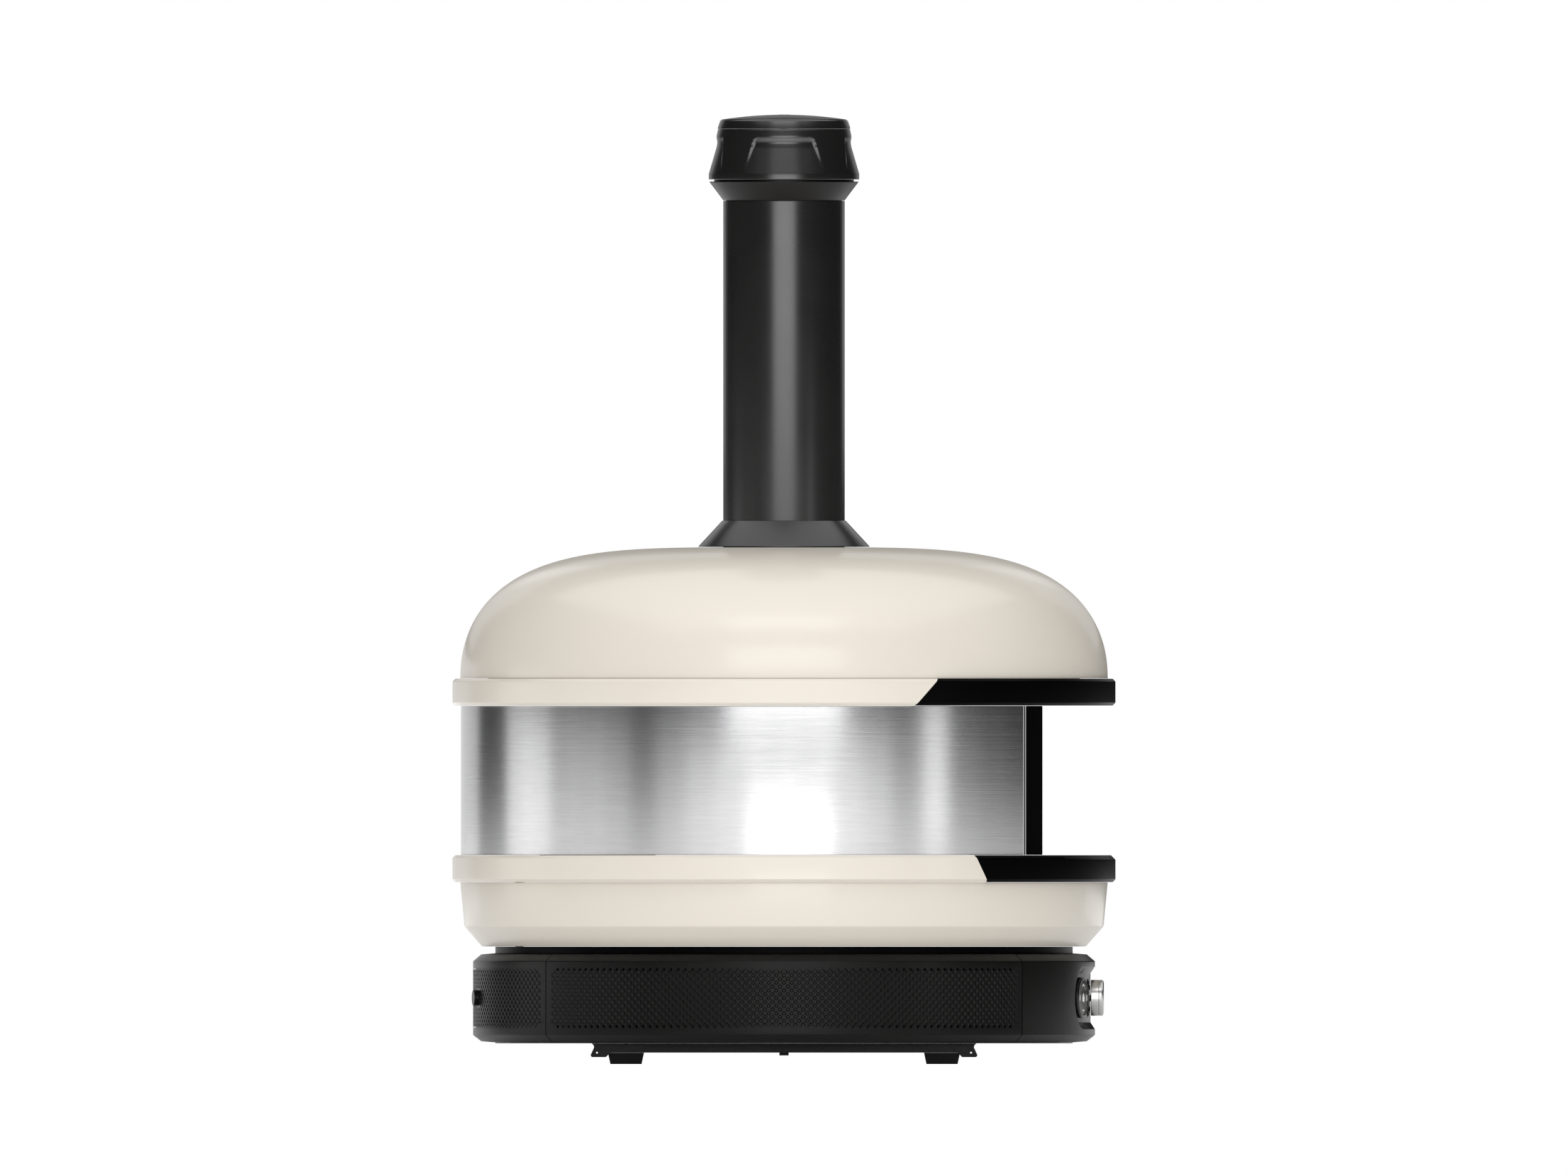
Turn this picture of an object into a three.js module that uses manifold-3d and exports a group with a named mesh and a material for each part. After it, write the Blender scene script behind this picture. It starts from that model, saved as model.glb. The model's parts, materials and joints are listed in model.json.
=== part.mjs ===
// A round gas-fired pizza oven: a domed, insulated body on a drum-shaped base, with a straight flue
// and a turning chimney cap. The mouth faces +X, +Z is up, and the origin is on the ground under the
// centre of the feet. Millimetres.
import * as THREE from "three";
import { mergeVertices } from "three/addons/utils/BufferGeometryUtils.js";
import { ConvexGeometry } from "three/addons/geometries/ConvexGeometry.js";
import Module from "manifold-3d";

const wasm = await Module();
wasm.setup();

// ---------------------------------------------------------------- driving dimensions
const FIT = 0.3; // gap left between two pieces that touch
const SNUG = 0.05; // gap between two pieces that are screwed together on a visible edge
const ROUND = 40; // flats round a large turned piece
const CHIMNEY_FLATS = 32; // flats round the flue and its cap
const FINE = 24; // flats round a small turned piece
const SHEET = 2; // thickness of the structural steel sheet
const OVERCUT = 5; // how far a cutting solid reaches past what it cuts

const RIM_RADIUS = 327.3; // outside of the two rims, the widest part of the oven
const RIM_HEIGHT = 26.6;
const RIM_CHAMFER = 2.8;
const RIM_SKIN = 2.5;
const RIM_DEPTH = 31.3; // radial depth of the rims' channel section
const SOFFIT_SKIN = 3.5; // thickness of the flat plates of the visor and the landing
const SHELL_STEP = 7.7; // how far the dome and the pan stand back from the rims
const BAND_STEP = 8.4; // how far the steel band stands back from the rims
const BAND_HEIGHT = 147.1;
const BAND_SKIN = 1.2;
const INSULATION = 25; // thickness of the fibre blanket round the chamber
const CHAMBER_SKIN = 1.8;

const FACE_FRONT = 255.2; // distance of the flat face from the centre
const FACE_DEPTH = 16.5;
const HEM_DEPTH = 1.8; // the strip between the band's end and the face
const HEM_WIDTH = 14;
const LINER_DEPTH = 7.7; // from the back of the hem strips to the back of the mouth liner
const LINER_SKIN = 2;
const MOUTH_WIDTH = 340;
const MOUTH_HEIGHT = 120;
const MOUTH_SILL = 8; // height of the mouth's lower edge above the landing
const MOUTH_CORNER = 18;

const VISOR_ANGLE_LOW = 66.6; // half-angle of the visor at its lower edge, degrees
const VISOR_ANGLE_HIGH = 62.1;
const LANDING_ANGLE_LOW = 52.0;
const LANDING_ANGLE_HIGH = 54.7;
const LANDING_LIP_START = 277.5; // beyond this distance the landing has its deeper edge chamfer
const LANDING_LIP_CHAMFER = 4.4;
const JOINT_GAP = 0.6; // between a rim and the black piece let into it

const DOME_HEIGHT = 129.5;
const DOME_SHOULDER = 4.3; // exponents of the dome's curve: r/a to this power
const DOME_CROWN = 2.15; // plus h/b to this power is one

const PAN_HEIGHT = 63.1;
const PAN_BEVEL_HEIGHT = 19.6;
const PAN_BEVEL_STEP = 17.4;
const PAN_DRAFT = 4.2;

const STONE_THICK = 24;
const STONE_REACH = 2.5; // gap between the stone and the tray's wall
const BURNER_CHANNEL = 49; // width of the channel behind the stone
const BURNER_TUBE = 9; // outside radius of the burner
const BURNER_WALL = 1.5;
const BURNER_RISE = 6; // from the tray's floor to the burner
const BURNER_ARC = 52; // half-angle of the burner's arc, degrees
const GUARD_ARC = 58;
const GUARD_RISE = 16; // how far the flame guard stands above the stone
const GUARD_SKIN = 1.5;
const ELECTRODE_RADIUS = 2;
const ELECTRODE_LENGTH = 34;
const ELECTRODE_OFFSET = 30; // sideways place of the igniter's electrode
const ELECTRODE_RISE = 24; // height of the electrode above the band's foot
const ELECTRODE_GAP = 4; // from the chamber's wall to the electrode

const FLUE_RADIUS = 60;
const FLUE_WALL = 2;
const FLUE_LENGTH = 315.9; // the length that shows, from skirt to collar
const FLUE_SKIRT_RADIUS = 85;
const FLUE_SKIRT_HEIGHT = 26.2;
const FLUE_SKIRT_SKIN = 3.4;
const NECK_HEIGHT = 14; // how far the inner dome's neck stands up in the flue
const COLLAR_HEIGHT = 18.6;
const COLLAR_FLARE = 14;
const COLLAR_SPIGOT = 18;
const COLLAR_SKIN = 2.4;
const COLLAR_STEP = 2.2; // depth at which the flare starts inside the spigot
const CAP_GAP = 1.9; // between the collar and the turning cap, where the smoke leaves
const CAP_LIP = 5.5; // upright band round the cap's lower edge
const CAP_CONE = 44.6;
const CAP_TAPER = 9.2;
const CAP_SKIN = 2.5;
const CAP_FLATS = 48;
const CAP_SHOULDER = 6; // plain band of the cone above the finger recesses
const CAP_FLANGE = 14; // width of the flange that the lid lies on
const GRIP_DEPTH = 1.7; // the four finger recesses in the cap
const GRIP_HALF_LOW = 34; // degrees
const GRIP_HALF_HIGH = 26;
const GRIP_LEDGE = 9;
const GRIP_SIDE = 3.5; // degrees over which a recess's side slopes
const GRIP_FADE = 12; // height over which a recess runs out at its foot
const LID_HEIGHT = 9.25;
const LID_CROWN = 4.8;
const LID_OVERHANG = 0.6;
const LID_TOP_STEP = 4.5; // how far the flat crown stands back from the lid's edge
const SCREW_RECESS_RADIUS = 6.5;
const SCREW_RECESS_DEPTH = 1.2;
const SCREW_RADIUS = 5.6;
const SCREW_HEIGHT = 0.9;
const SPINDLE_RADIUS = 4;
const DAMPER_SHEET = 1.5;
const DAMPER_SLOTS = 4;
const DAMPER_SLOT_HALF = 20; // degrees
const DAMPER_HUB = 14; // radius of the plates' solid middle
const DAMPER_EDGE = 9; // width of their solid edge
const DAMPER_DROP = 10; // from the collar's top to the fixed plate
const TURN_GAP = 0.4; // running clearance round the spindle and between the damper plates

const BASE_STEP = 20.3; // how far the base's wall stands back from the rims
const BASE_WALL = 72.8;
const BASE_BEVEL = 8;
const BASE_BEVEL_LOW = 6.2; // height of the lower bevel
const BASE_BEVEL_HIGH = 6.8; // height of the upper bevel
const BASE_SHOULDER = 13.5;
const BASE_SHOULDER_RISE = 1.1;
const BASE_SKIN = 2.5;
const BASE_LIFT = 0.9; // the panels' lower edge above the bottom plate's underside
const BASE_SEAM = 1.1;
const FRONT_PANEL_HALF = 40; // degrees, also the rear panel's
const SPACER_HEIGHT = 6.5; // the part of the spacer ring that shows
const SPACER_DEPTH = 16;
const CORE_RADIUS = 225;

const CONTROL_HEIGHT = 44.9; // the controls' centre line above the bottom plate
const POCKET_DEPTH = 4.4;
const POCKET_FLOOR_HALF = 24.2;
const POCKET_SLOPE = 6.8;
const POCKET_ANGLE = 15.3; // degrees from the front to the centre of each round end
const PAD_ANGLE = -15.3;
const BEZEL_RADIUS = 20.1;
const BEZEL_HEIGHT = 3.9;
const BEZEL_LAND = 3.2;
const BEZEL_CHAMFER = 1.4;
const PAD_TRAVEL = 1.2;
const PAD_PLUNGER = 5;
const MODULE_SETBACK = 14; // from the pocket's floor to the ignition module
const MODULE_DEPTH = 24;
const MODULE_WIDTH = 34;
const MODULE_HEIGHT = 32;
const MODULE_SHIFT = -11; // sideways, clear of the gas valve
const DIAL_OFFSET = -41; // sideways place of the dial's axis
const DIAL_RADIUS = 17.7;
const DIAL_THICK = 12.9;
const DIAL_EDGE = 3.5; // width of the rounded front edge
const DIAL_PROUD = 8.8; // from the base's wall to the dial's face
const DIAL_SKIRT_RADIUS = 15;
const DIAL_SKIRT_LENGTH = 7.6;
const DIAL_TRAVEL = 3;
const STEM_RADIUS = 3;
const PLUG_RADIUS = 6;
const PLUG_LENGTH = 25;
const PLUG_FLOOR = 2;
const VALVE_SIZE = 30;
const VALVE_LENGTH = 47;
const VALVE_SETBACK = 32.8; // from the dial's face to the valve's front
const PORT_OFFSET = 8; // from the dial's axis to each gas port
const PIPE_RADIUS = 4;
const PIPE_BEND = 30;
const INLET_ANGLE = 190.3;
const INLET_HOLE = 7.5;
const INLET_BORE = 2.5;
const INLET_WALL = 3.5;
const INLET_SETBACK = 15; // from the base's wall to the fitting's inner end
const INLET_RECESS = 4; // from the base's wall to the fitting's mouth

const RAIL_HEIGHT = 9.2;
const RAIL_WIDTH = 30;
const FOOT_HEIGHT = 11.2;
const FOOT_LENGTH = 35.7;
const FOOT_WIDTH = 29;
const FOOT_DRAFT = 2.4;
const FOOT_SPREAD = 156; // each way from the centre to a foot
const TAB_REACH = 17; // how far a bracket tab stands out beyond the foot
const TAB_SKIN = 3;
const TAB_BITE = 0.3; // how deep the tab is let into the rail's outer face
const TAB_HOLE = 0.9;
const TAB_HOLE_REACH = 10.8; // how far the hole stands out beyond the foot
const TAB_DROP = 4.4; // how far the tab hangs below the rail
const TAB_NOSE = 2; // radius of the tab's lower corner
const TAB_WAIST = 13.7; // reach of the tab at its narrowest
const TAB_WAIST_HEIGHT = 5.2;
const TAB_TOP_REACH = 16.1;
const TAB_LAP = 8.9; // how far the tab's slanted root runs back over the rail at the top
const TAB_LAP_FOOT = 2.5; // and at the rail's lower edge
const BOLT_HEAD = 5.3;
const BOLT_DROP = 2.8; // how far the centre bolt hangs below the rails

// ---------------------------------------------------------------- sizes that follow
const baseRadius = RIM_RADIUS - BASE_STEP;
const bandRadius = RIM_RADIUS - BAND_STEP;
const domeRadius = RIM_RADIUS - SHELL_STEP;
const rimInner = RIM_RADIUS - RIM_DEPTH;
const chamberOuter = bandRadius - BAND_SKIN - INSULATION - 2 * FIT;
const chamberRadius = chamberOuter - CHAMBER_SKIN;
const hemBack = FACE_FRONT - FACE_DEPTH - HEM_DEPTH - FIT;
const linerBack = hemBack - LINER_DEPTH;

const wallLow = BASE_LIFT + BASE_SHOULDER_RISE + BASE_BEVEL_LOW;
const wallHigh = wallLow + BASE_WALL;
const baseHeight = wallHigh + BASE_BEVEL_HIGH + BASE_SHOULDER_RISE;
const openingRadius = baseRadius - BASE_BEVEL - BASE_SHOULDER;
const zBase = FOOT_HEIGHT + SNUG + RAIL_HEIGHT + SNUG;
const zPan = zBase + baseHeight + SPACER_HEIGHT + FIT;
const zLowerRim = zPan + PAN_HEIGHT + FIT;
const zBand = zLowerRim + RIM_HEIGHT + FIT;
const zUpperRim = zBand + BAND_HEIGHT + FIT;
const zDome = zUpperRim + RIM_HEIGHT + FIT;
const zFlue = zDome + DOME_HEIGHT;
const zCollar = zFlue + FLUE_SKIRT_HEIGHT + FLUE_LENGTH + FIT;
const zCap = zCollar + COLLAR_HEIGHT + CAP_GAP;

const radians = (degrees) => (degrees * Math.PI) / 180;
const FAR = 3 * RIM_RADIUS; // reaches past everything, for cutting

// ---------------------------------------------------------------- solids
function toSolid(geometry) {
  const bare = geometry.clone();
  bare.deleteAttribute("normal");
  bare.deleteAttribute("uv");
  const merged = mergeVertices(bare, 1e-4);
  const vertProperties = merged.attributes.position.array;
  const triVerts = new Uint32Array(merged.index.array);
  return new wasm.Manifold(new wasm.Mesh({ numProp: 3, vertProperties, triVerts }));
}

function toGeometry(solid) {
  const mesh = solid.getMesh();
  const geometry = new THREE.BufferGeometry();
  const positions = new Float32Array(mesh.vertProperties);
  geometry.setAttribute("position", new THREE.BufferAttribute(positions, 3));
  geometry.setIndex(new THREE.BufferAttribute(new Uint32Array(mesh.triVerts), 1));
  geometry.computeVertexNormals();
  return geometry;
}

// A turned solid about Z from its half-outline, given as [radius, height] pairs going round once.
function turnedGeometry(outline, flats = ROUND) {
  const closed = outline.some(([r]) => r === 0) ? openAtAxis(outline) : [...outline, outline[0]];
  const points = closed.map(([r, z]) => new THREE.Vector2(r, z));
  return new THREE.LatheGeometry(points, flats).rotateX(Math.PI / 2);
}

// Starts and ends an outline on the axis, whichever point it was written from.
function openAtAxis(outline) {
  const count = outline.length;
  const start = outline.findIndex(([r], i) => r === 0 && outline[(i + 1) % count][0] !== 0);
  return outline.map((_, i) => outline[(start + i) % count]);
}

// The outline runs anticlockwise, with the radius to the right and the height up.
function area(outline) {
  return outline.reduce((sum, [r, z], i) => {
    const [nextR, nextZ] = outline[(i + 1) % outline.length];
    return sum + (r * nextZ - nextR * z) / 2;
  }, 0);
}

function turned(outline, flats = ROUND) {
  const ordered = area(outline) > 0 ? outline : [...outline].reverse();
  return toSolid(turnedGeometry(ordered, flats));
}

const ring = (inner, outer, low, high, flats = ROUND) =>
  turned([[inner, low], [outer, low], [outer, high], [inner, high]], flats);

const discGeometry = (radius, low, high, flats = ROUND) =>
  turnedGeometry([[0, low], [radius, low], [radius, high], [0, high]], flats);

const disc = (...sizes) => toSolid(discGeometry(...sizes));

function box(lowX, highX, lowY, highY, lowZ, highZ) {
  const shape = new THREE.BoxGeometry(highX - lowX, highY - lowY, highZ - lowZ);
  return toSolid(shape.translate((lowX + highX) / 2, (lowY + highY) / 2, (lowZ + highZ) / 2));
}

const extruded = (shape, depth) =>
  new THREE.ExtrudeGeometry(shape, { depth, bevelEnabled: false, curveSegments: 6 });

// A wedge about the axis between two angles in degrees, up to 170 apart, for cutting sectors.
function sector(from, to, low, high) {
  const shape = new THREE.Shape();
  shape.moveTo(0, 0);
  for (const angle of [from, (from + to) / 2, to]) {
    shape.lineTo(FAR * Math.cos(radians(angle)), FAR * Math.sin(radians(angle)));
  }
  return toSolid(extruded(shape, high - low).translate(0, 0, low));
}

// A wedge about the front whose half-angle changes with height, for the slanted joints.
function slantedFront(angleLow, angleHigh, low, high) {
  const corners = [];
  for (const [angle, z] of [[angleLow, low], [angleHigh, high]]) {
    corners.push(new THREE.Vector3(0, 0, z));
    corners.push(new THREE.Vector3(FAR * Math.cos(radians(angle)), FAR * Math.sin(radians(angle)), z));
    corners.push(new THREE.Vector3(FAR * Math.cos(radians(angle)), -FAR * Math.sin(radians(angle)), z));
  }
  return toSolid(new ConvexGeometry(corners));
}

// A cylinder or cone whose axis points outwards at an angle round the oven.
function radialCone(angle, height, inner, outer, radiusInner, radiusOuter, flats = FINE) {
  const shape = new THREE.CylinderGeometry(radiusOuter, radiusInner, outer - inner, flats);
  shape.translate(0, (inner + outer) / 2, 0);
  shape.rotateZ(-Math.PI / 2);
  shape.rotateZ(radians(angle));
  shape.translate(0, 0, height);
  return toSolid(shape);
}

// A rod or tube along a path; a wall makes it hollow.
function rod(path, radius, steps, sides = 12, wall = 0) {
  const shape = new THREE.Shape();
  shape.absarc(0, 0, radius, 0, 2 * Math.PI);
  if (wall) {
    const bore = new THREE.Path();
    bore.absarc(0, 0, radius - wall, 0, 2 * Math.PI, true);
    shape.holes.push(bore);
  }
  const settings = { extrudePath: path, steps, curveSegments: sides / 2, bevelEnabled: false };
  return toSolid(new THREE.ExtrudeGeometry(shape, settings));
}

// ---------------------------------------------------------------- finishes
const finish = (color, roughness, metalness) => ({ color, roughness, metalness });
const CREAM = finish(0xddd7cc, 0.42, 0);
const SATIN_BLACK = finish(0x0b0b0b, 0.45, 0.2);
const BASE_BLACK = finish(0x1a1a19, 0.55, 0.1);
const FLUE_BLACK = finish(0x1c1c1c, 0.4, 0.5);
const STEEL = finish(0xb9babc, 0.3, 1);
const DARK_STEEL = finish(0x55565a, 0.5, 0.9);
const KNOB_SILVER = finish(0xb5b5b2, 0.28, 1);
const BRASS = finish(0xb08d4a, 0.35, 1);
const STONE = finish(0xc9b79b, 0.9, 0);
const FIBRE = finish(0xe6e3da, 0.95, 0);
const RUBBER = finish(0x121212, 0.85, 0);
const CERAMIC = finish(0xf0eee8, 0.5, 0);
const GREY_PLASTIC = finish(0x3a3c3f, 0.6, 0);

const oven = new THREE.Group();
oven.name = "pizza_oven";

function assembly(height) {
  const group = new THREE.Group();
  group.position.z = height;
  oven.add(group);
  return group;
}

function piece(group, name, solid, look) {
  const mesh = new THREE.Mesh(toGeometry(solid), new THREE.MeshStandardMaterial(look));
  mesh.name = name;
  group.add(mesh);
  return mesh;
}

// ---------------------------------------------------------------- feet, rails and centre bolt
const stand = assembly(0);

function footSolid() {
  const half = FOOT_LENGTH / 2;
  const shape = new THREE.Shape();
  shape.moveTo(-half + FOOT_DRAFT, 0);
  shape.lineTo(half - FOOT_DRAFT, 0);
  shape.lineTo(half, FOOT_HEIGHT);
  shape.lineTo(-half, FOOT_HEIGHT);
  return toSolid(extruded(shape, FOOT_WIDTH).translate(0, 0, -FOOT_WIDTH / 2).rotateX(Math.PI / 2));
}

// A bracket tab is a plate on the rail's outer face, which is on the side that outward gives (1 or -1).
// It stands out past the foot, hangs below the rail and carries a small round hole.
function tabGeometry(outward) {
  const noseX = TAB_REACH - TAB_NOSE;
  const noseZ = TAB_NOSE - TAB_DROP;
  const shape = new THREE.Shape();
  shape.moveTo(-TAB_LAP, RAIL_HEIGHT);
  shape.lineTo(-TAB_LAP_FOOT, 0);
  shape.lineTo(TAB_NOSE, -TAB_DROP);
  shape.absarc(noseX, noseZ, TAB_NOSE, -Math.PI / 2, Math.PI / 5);
  shape.lineTo(TAB_WAIST, TAB_WAIST_HEIGHT);
  shape.quadraticCurveTo(TAB_WAIST, TAB_WAIST_HEIGHT + TAB_NOSE, TAB_TOP_REACH, RAIL_HEIGHT);
  const hole = new THREE.Path();
  hole.absarc(TAB_HOLE_REACH, 0, TAB_HOLE, 0, 2 * Math.PI, true);
  shape.holes.push(hole);
  const inner = RAIL_WIDTH / 2 - TAB_BITE;
  const low = outward > 0 ? -(inner + TAB_SKIN) : inner;
  return extruded(shape, TAB_SKIN).translate(0, 0, low).rotateX(Math.PI / 2);
}

function railSolid(outward) {
  const half = FOOT_SPREAD + FOOT_LENGTH / 2;
  const bar = box(-half, half, -RAIL_WIDTH / 2, RAIL_WIDTH / 2, 0, RAIL_HEIGHT);
  const front = tabGeometry(outward).translate(half, 0, 0);
  const rear = tabGeometry(-outward).translate(half, 0, 0).rotateZ(Math.PI);
  return bar.add(toSolid(front)).add(toSolid(rear));
}

for (const [side, y] of [["left", FOOT_SPREAD], ["right", -FOOT_SPREAD]]) {
  const rail = piece(stand, `foot_rail_${side}`, railSolid(Math.sign(y)), BASE_BLACK);
  rail.position.set(0, y, FOOT_HEIGHT + SNUG);
  for (const [end, x] of [["front", FOOT_SPREAD], ["rear", -FOOT_SPREAD]]) {
    const foot = piece(stand, `foot_${end}_${side}`, footSolid(), RUBBER);
    foot.position.set(x, y, 0);
  }
}

const bolt = disc(BOLT_HEAD, 0, BOLT_DROP + RAIL_HEIGHT, 6);
piece(stand, "centre_bolt", bolt, DARK_STEEL).position.z = FOOT_HEIGHT + SNUG - BOLT_DROP;

// ---------------------------------------------------------------- base
const base = assembly(zBase);
const wallInner = baseRadius - BASE_SKIN;

const panelRing = turned([
  [openingRadius, BASE_LIFT],
  [baseRadius - BASE_BEVEL, BASE_LIFT + BASE_SHOULDER_RISE],
  [baseRadius, wallLow],
  [baseRadius, wallHigh],
  [baseRadius - BASE_BEVEL, baseHeight - BASE_SHOULDER_RISE],
  [openingRadius, baseHeight],
  [openingRadius, baseHeight - BASE_SKIN],
  [wallInner - BASE_BEVEL, baseHeight - BASE_SHOULDER_RISE - BASE_SKIN],
  [wallInner, wallHigh - BASE_SKIN / 2],
  [wallInner, wallLow + BASE_SKIN / 2],
  [wallInner - BASE_BEVEL, BASE_LIFT + BASE_SHOULDER_RISE + BASE_SKIN],
  [openingRadius, BASE_LIFT + BASE_SKIN],
]);

function panelSector(from, to) {
  const seam = (BASE_SEAM / 2 / baseRadius) * (180 / Math.PI);
  return sector(from + seam, to - seam, -1, baseHeight + 1);
}

// The control pocket: a long recess with round ends and sloping edges, its floor round the oven.
const floorRadius = baseRadius - POCKET_DEPTH;
const cutReach = baseRadius + 2;
const cutHalf = POCKET_FLOOR_HALF + (POCKET_SLOPE * (cutReach - floorRadius)) / POCKET_DEPTH;
const pocketStraight = turned([
  [floorRadius, CONTROL_HEIGHT - POCKET_FLOOR_HALF],
  [cutReach, CONTROL_HEIGHT - cutHalf],
  [cutReach, CONTROL_HEIGHT + cutHalf],
  [floorRadius, CONTROL_HEIGHT + POCKET_FLOOR_HALF],
], 2 * ROUND).intersect(sector(-POCKET_ANGLE, POCKET_ANGLE, 0, baseHeight));
const pocketEnd = (angle) =>
  radialCone(angle, CONTROL_HEIGHT, floorRadius, cutReach, POCKET_FLOOR_HALF, cutHalf);
const pocket = pocketStraight.add(pocketEnd(POCKET_ANGLE)).add(pocketEnd(-POCKET_ANGLE));

const backingHalf = POCKET_FLOOR_HALF + POCKET_SLOPE + BASE_SKIN;
const backingAngle = POCKET_ANGLE + (backingHalf / baseRadius) * (180 / Math.PI);
const backingLow = CONTROL_HEIGHT - backingHalf;
const backingHigh = CONTROL_HEIGHT + backingHalf;
const backing = ring(floorRadius - BASE_SKIN, baseRadius - 1, backingLow, backingHigh)
  .intersect(sector(-backingAngle, backingAngle, 0, baseHeight));

const dialFace = baseRadius + DIAL_PROUD;
const dialBack = dialFace - DIAL_THICK;
const valveFront = dialFace - VALVE_SETBACK;
const valveRoom = valveFront - OVERCUT;
function alongX(radius, from, to) {
  const shape = discGeometry(radius, from, to, FINE).rotateY(Math.PI / 2);
  return toSolid(shape.translate(0, DIAL_OFFSET, CONTROL_HEIGHT));
}
const skirtHole = alongX(DIAL_SKIRT_RADIUS + 2 * FIT, valveRoom, baseRadius + OVERCUT);
const dialSeat = alongX(DIAL_RADIUS + 4 * FIT, dialBack - DIAL_TRAVEL - 0.5, baseRadius + OVERCUT);
const plungerBore = PAD_PLUNGER + 0.5;
const plungerHole = radialCone(
  PAD_ANGLE, CONTROL_HEIGHT, floorRadius - MODULE_SETBACK, floorRadius + OVERCUT, plungerBore, plungerBore,
);

const frontPanel = panelRing
  .intersect(panelSector(-FRONT_PANEL_HALF, FRONT_PANEL_HALF))
  .add(backing)
  .subtract(pocket)
  .subtract(skirtHole)
  .subtract(dialSeat)
  .subtract(plungerHole);
piece(base, "base_panel_front", frontPanel, BASE_BLACK);

const sideSpan = [FRONT_PANEL_HALF, 180 - FRONT_PANEL_HALF];
piece(base, "base_panel_left", panelRing.intersect(panelSector(...sideSpan)), BASE_BLACK);
const rightPanel = panelRing.intersect(panelSector(180 + sideSpan[0], 180 + sideSpan[1]));
piece(base, "base_panel_right", rightPanel, BASE_BLACK);
const inletHole = radialCone(
  INLET_ANGLE, CONTROL_HEIGHT, openingRadius, baseRadius + OVERCUT, INLET_HOLE, INLET_HOLE,
);
const rearPanel = panelRing.intersect(panelSector(sideSpan[1], 180 + sideSpan[0])).subtract(inletHole);
piece(base, "base_panel_rear", rearPanel, BASE_BLACK);

const plateRadius = openingRadius - 0.5;
const flangeRadius = plateRadius + 10;
const flangeLow = BASE_LIFT + BASE_SHOULDER_RISE + BASE_SKIN + FIT;
const bottomPlate = turned([
  [0, 0],
  [plateRadius, 0],
  [plateRadius, flangeLow],
  [flangeRadius, flangeLow],
  [flangeRadius, flangeLow + SHEET],
  [plateRadius - SHEET, flangeLow + SHEET],
  [plateRadius - SHEET, SHEET],
  [0, SHEET],
]);
piece(base, "base_bottom_plate", bottomPlate, BASE_BLACK);

const topPlateHigh = baseHeight - BASE_SKIN - BASE_SHOULDER_RISE - FIT;
const topPlateLow = topPlateHigh - SHEET;
const spacerTop = baseHeight + SPACER_HEIGHT;
const spacer = ring(plateRadius - SPACER_DEPTH, plateRadius, topPlateHigh + FIT, spacerTop);
piece(base, "spacer_ring", spacer, SATIN_BLACK);

// ---------------------------------------------------------------- gas train in the base
const valveBack = valveFront - VALVE_LENGTH;
const inletAngle = radians(INLET_ANGLE);
const inletEnd = baseRadius - INLET_SETBACK;
const supplyPort = new THREE.Vector3(valveBack - FIT, DIAL_OFFSET - PORT_OFFSET, CONTROL_HEIGHT);
const feedPort = new THREE.Vector3(valveBack - FIT, DIAL_OFFSET + PORT_OFFSET, CONTROL_HEIGHT);
const inletPoint = new THREE.Vector3(
  (inletEnd - 1) * Math.cos(inletAngle),
  (inletEnd - 1) * Math.sin(inletAngle),
  CONTROL_HEIGHT,
);

// The supply pipe runs from the inlet to the valve.
const supplyPath = new THREE.LineCurve3(inletPoint, supplyPort);
piece(base, "supply_pipe", rod(supplyPath, PIPE_RADIUS, 1), BRASS);

// The feed pipe runs back from the valve, bends up and rises to the burner.
const burnerRadius = chamberRadius - BURNER_CHANNEL / 2 - STONE_REACH;
const burnerHeight = zLowerRim + SHEET + BURNER_RISE + BURNER_TUBE;
const riseX = -Math.sqrt(burnerRadius ** 2 - feedPort.y ** 2);
const feedTop = burnerHeight - BURNER_TUBE - FIT - zBase;
const feedPath = new THREE.CurvePath();
const bendStart = new THREE.Vector3(riseX + PIPE_BEND, feedPort.y, CONTROL_HEIGHT);
const bendEnd = new THREE.Vector3(riseX, feedPort.y, CONTROL_HEIGHT + PIPE_BEND);
const feedCorner = new THREE.Vector3(riseX, feedPort.y, CONTROL_HEIGHT);
feedPath.add(new THREE.LineCurve3(feedPort, bendStart));
feedPath.add(new THREE.QuadraticBezierCurve3(bendStart, feedCorner, bendEnd));
feedPath.add(new THREE.LineCurve3(bendEnd, new THREE.Vector3(riseX, feedPort.y, feedTop)));
piece(base, "burner_feed_pipe", rod(feedPath, PIPE_RADIUS, 32, 8), BRASS);

const pipeHole = PIPE_RADIUS + 1;
const riserHole = (low, high) =>
  toSolid(discGeometry(pipeHole, low, high, FINE).translate(riseX, feedPort.y, 0));
const topPlate = disc(flangeRadius, topPlateLow, topPlateHigh).subtract(riserHole(0, baseHeight));
piece(base, "base_top_plate", topPlate, DARK_STEEL);

const feedNotch = box(
  -FAR, valveBack, feedPort.y - pipeHole, feedPort.y + pipeHole,
  CONTROL_HEIGHT - pipeHole, CONTROL_HEIGHT + pipeHole,
);
const coreRing = ring(CORE_RADIUS - SHEET, CORE_RADIUS, flangeLow + SHEET + FIT, topPlateLow - FIT)
  .subtract(rod(supplyPath, pipeHole, 1))
  .subtract(feedNotch);
piece(base, "base_core_ring", coreRing, DARK_STEEL);

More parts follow.
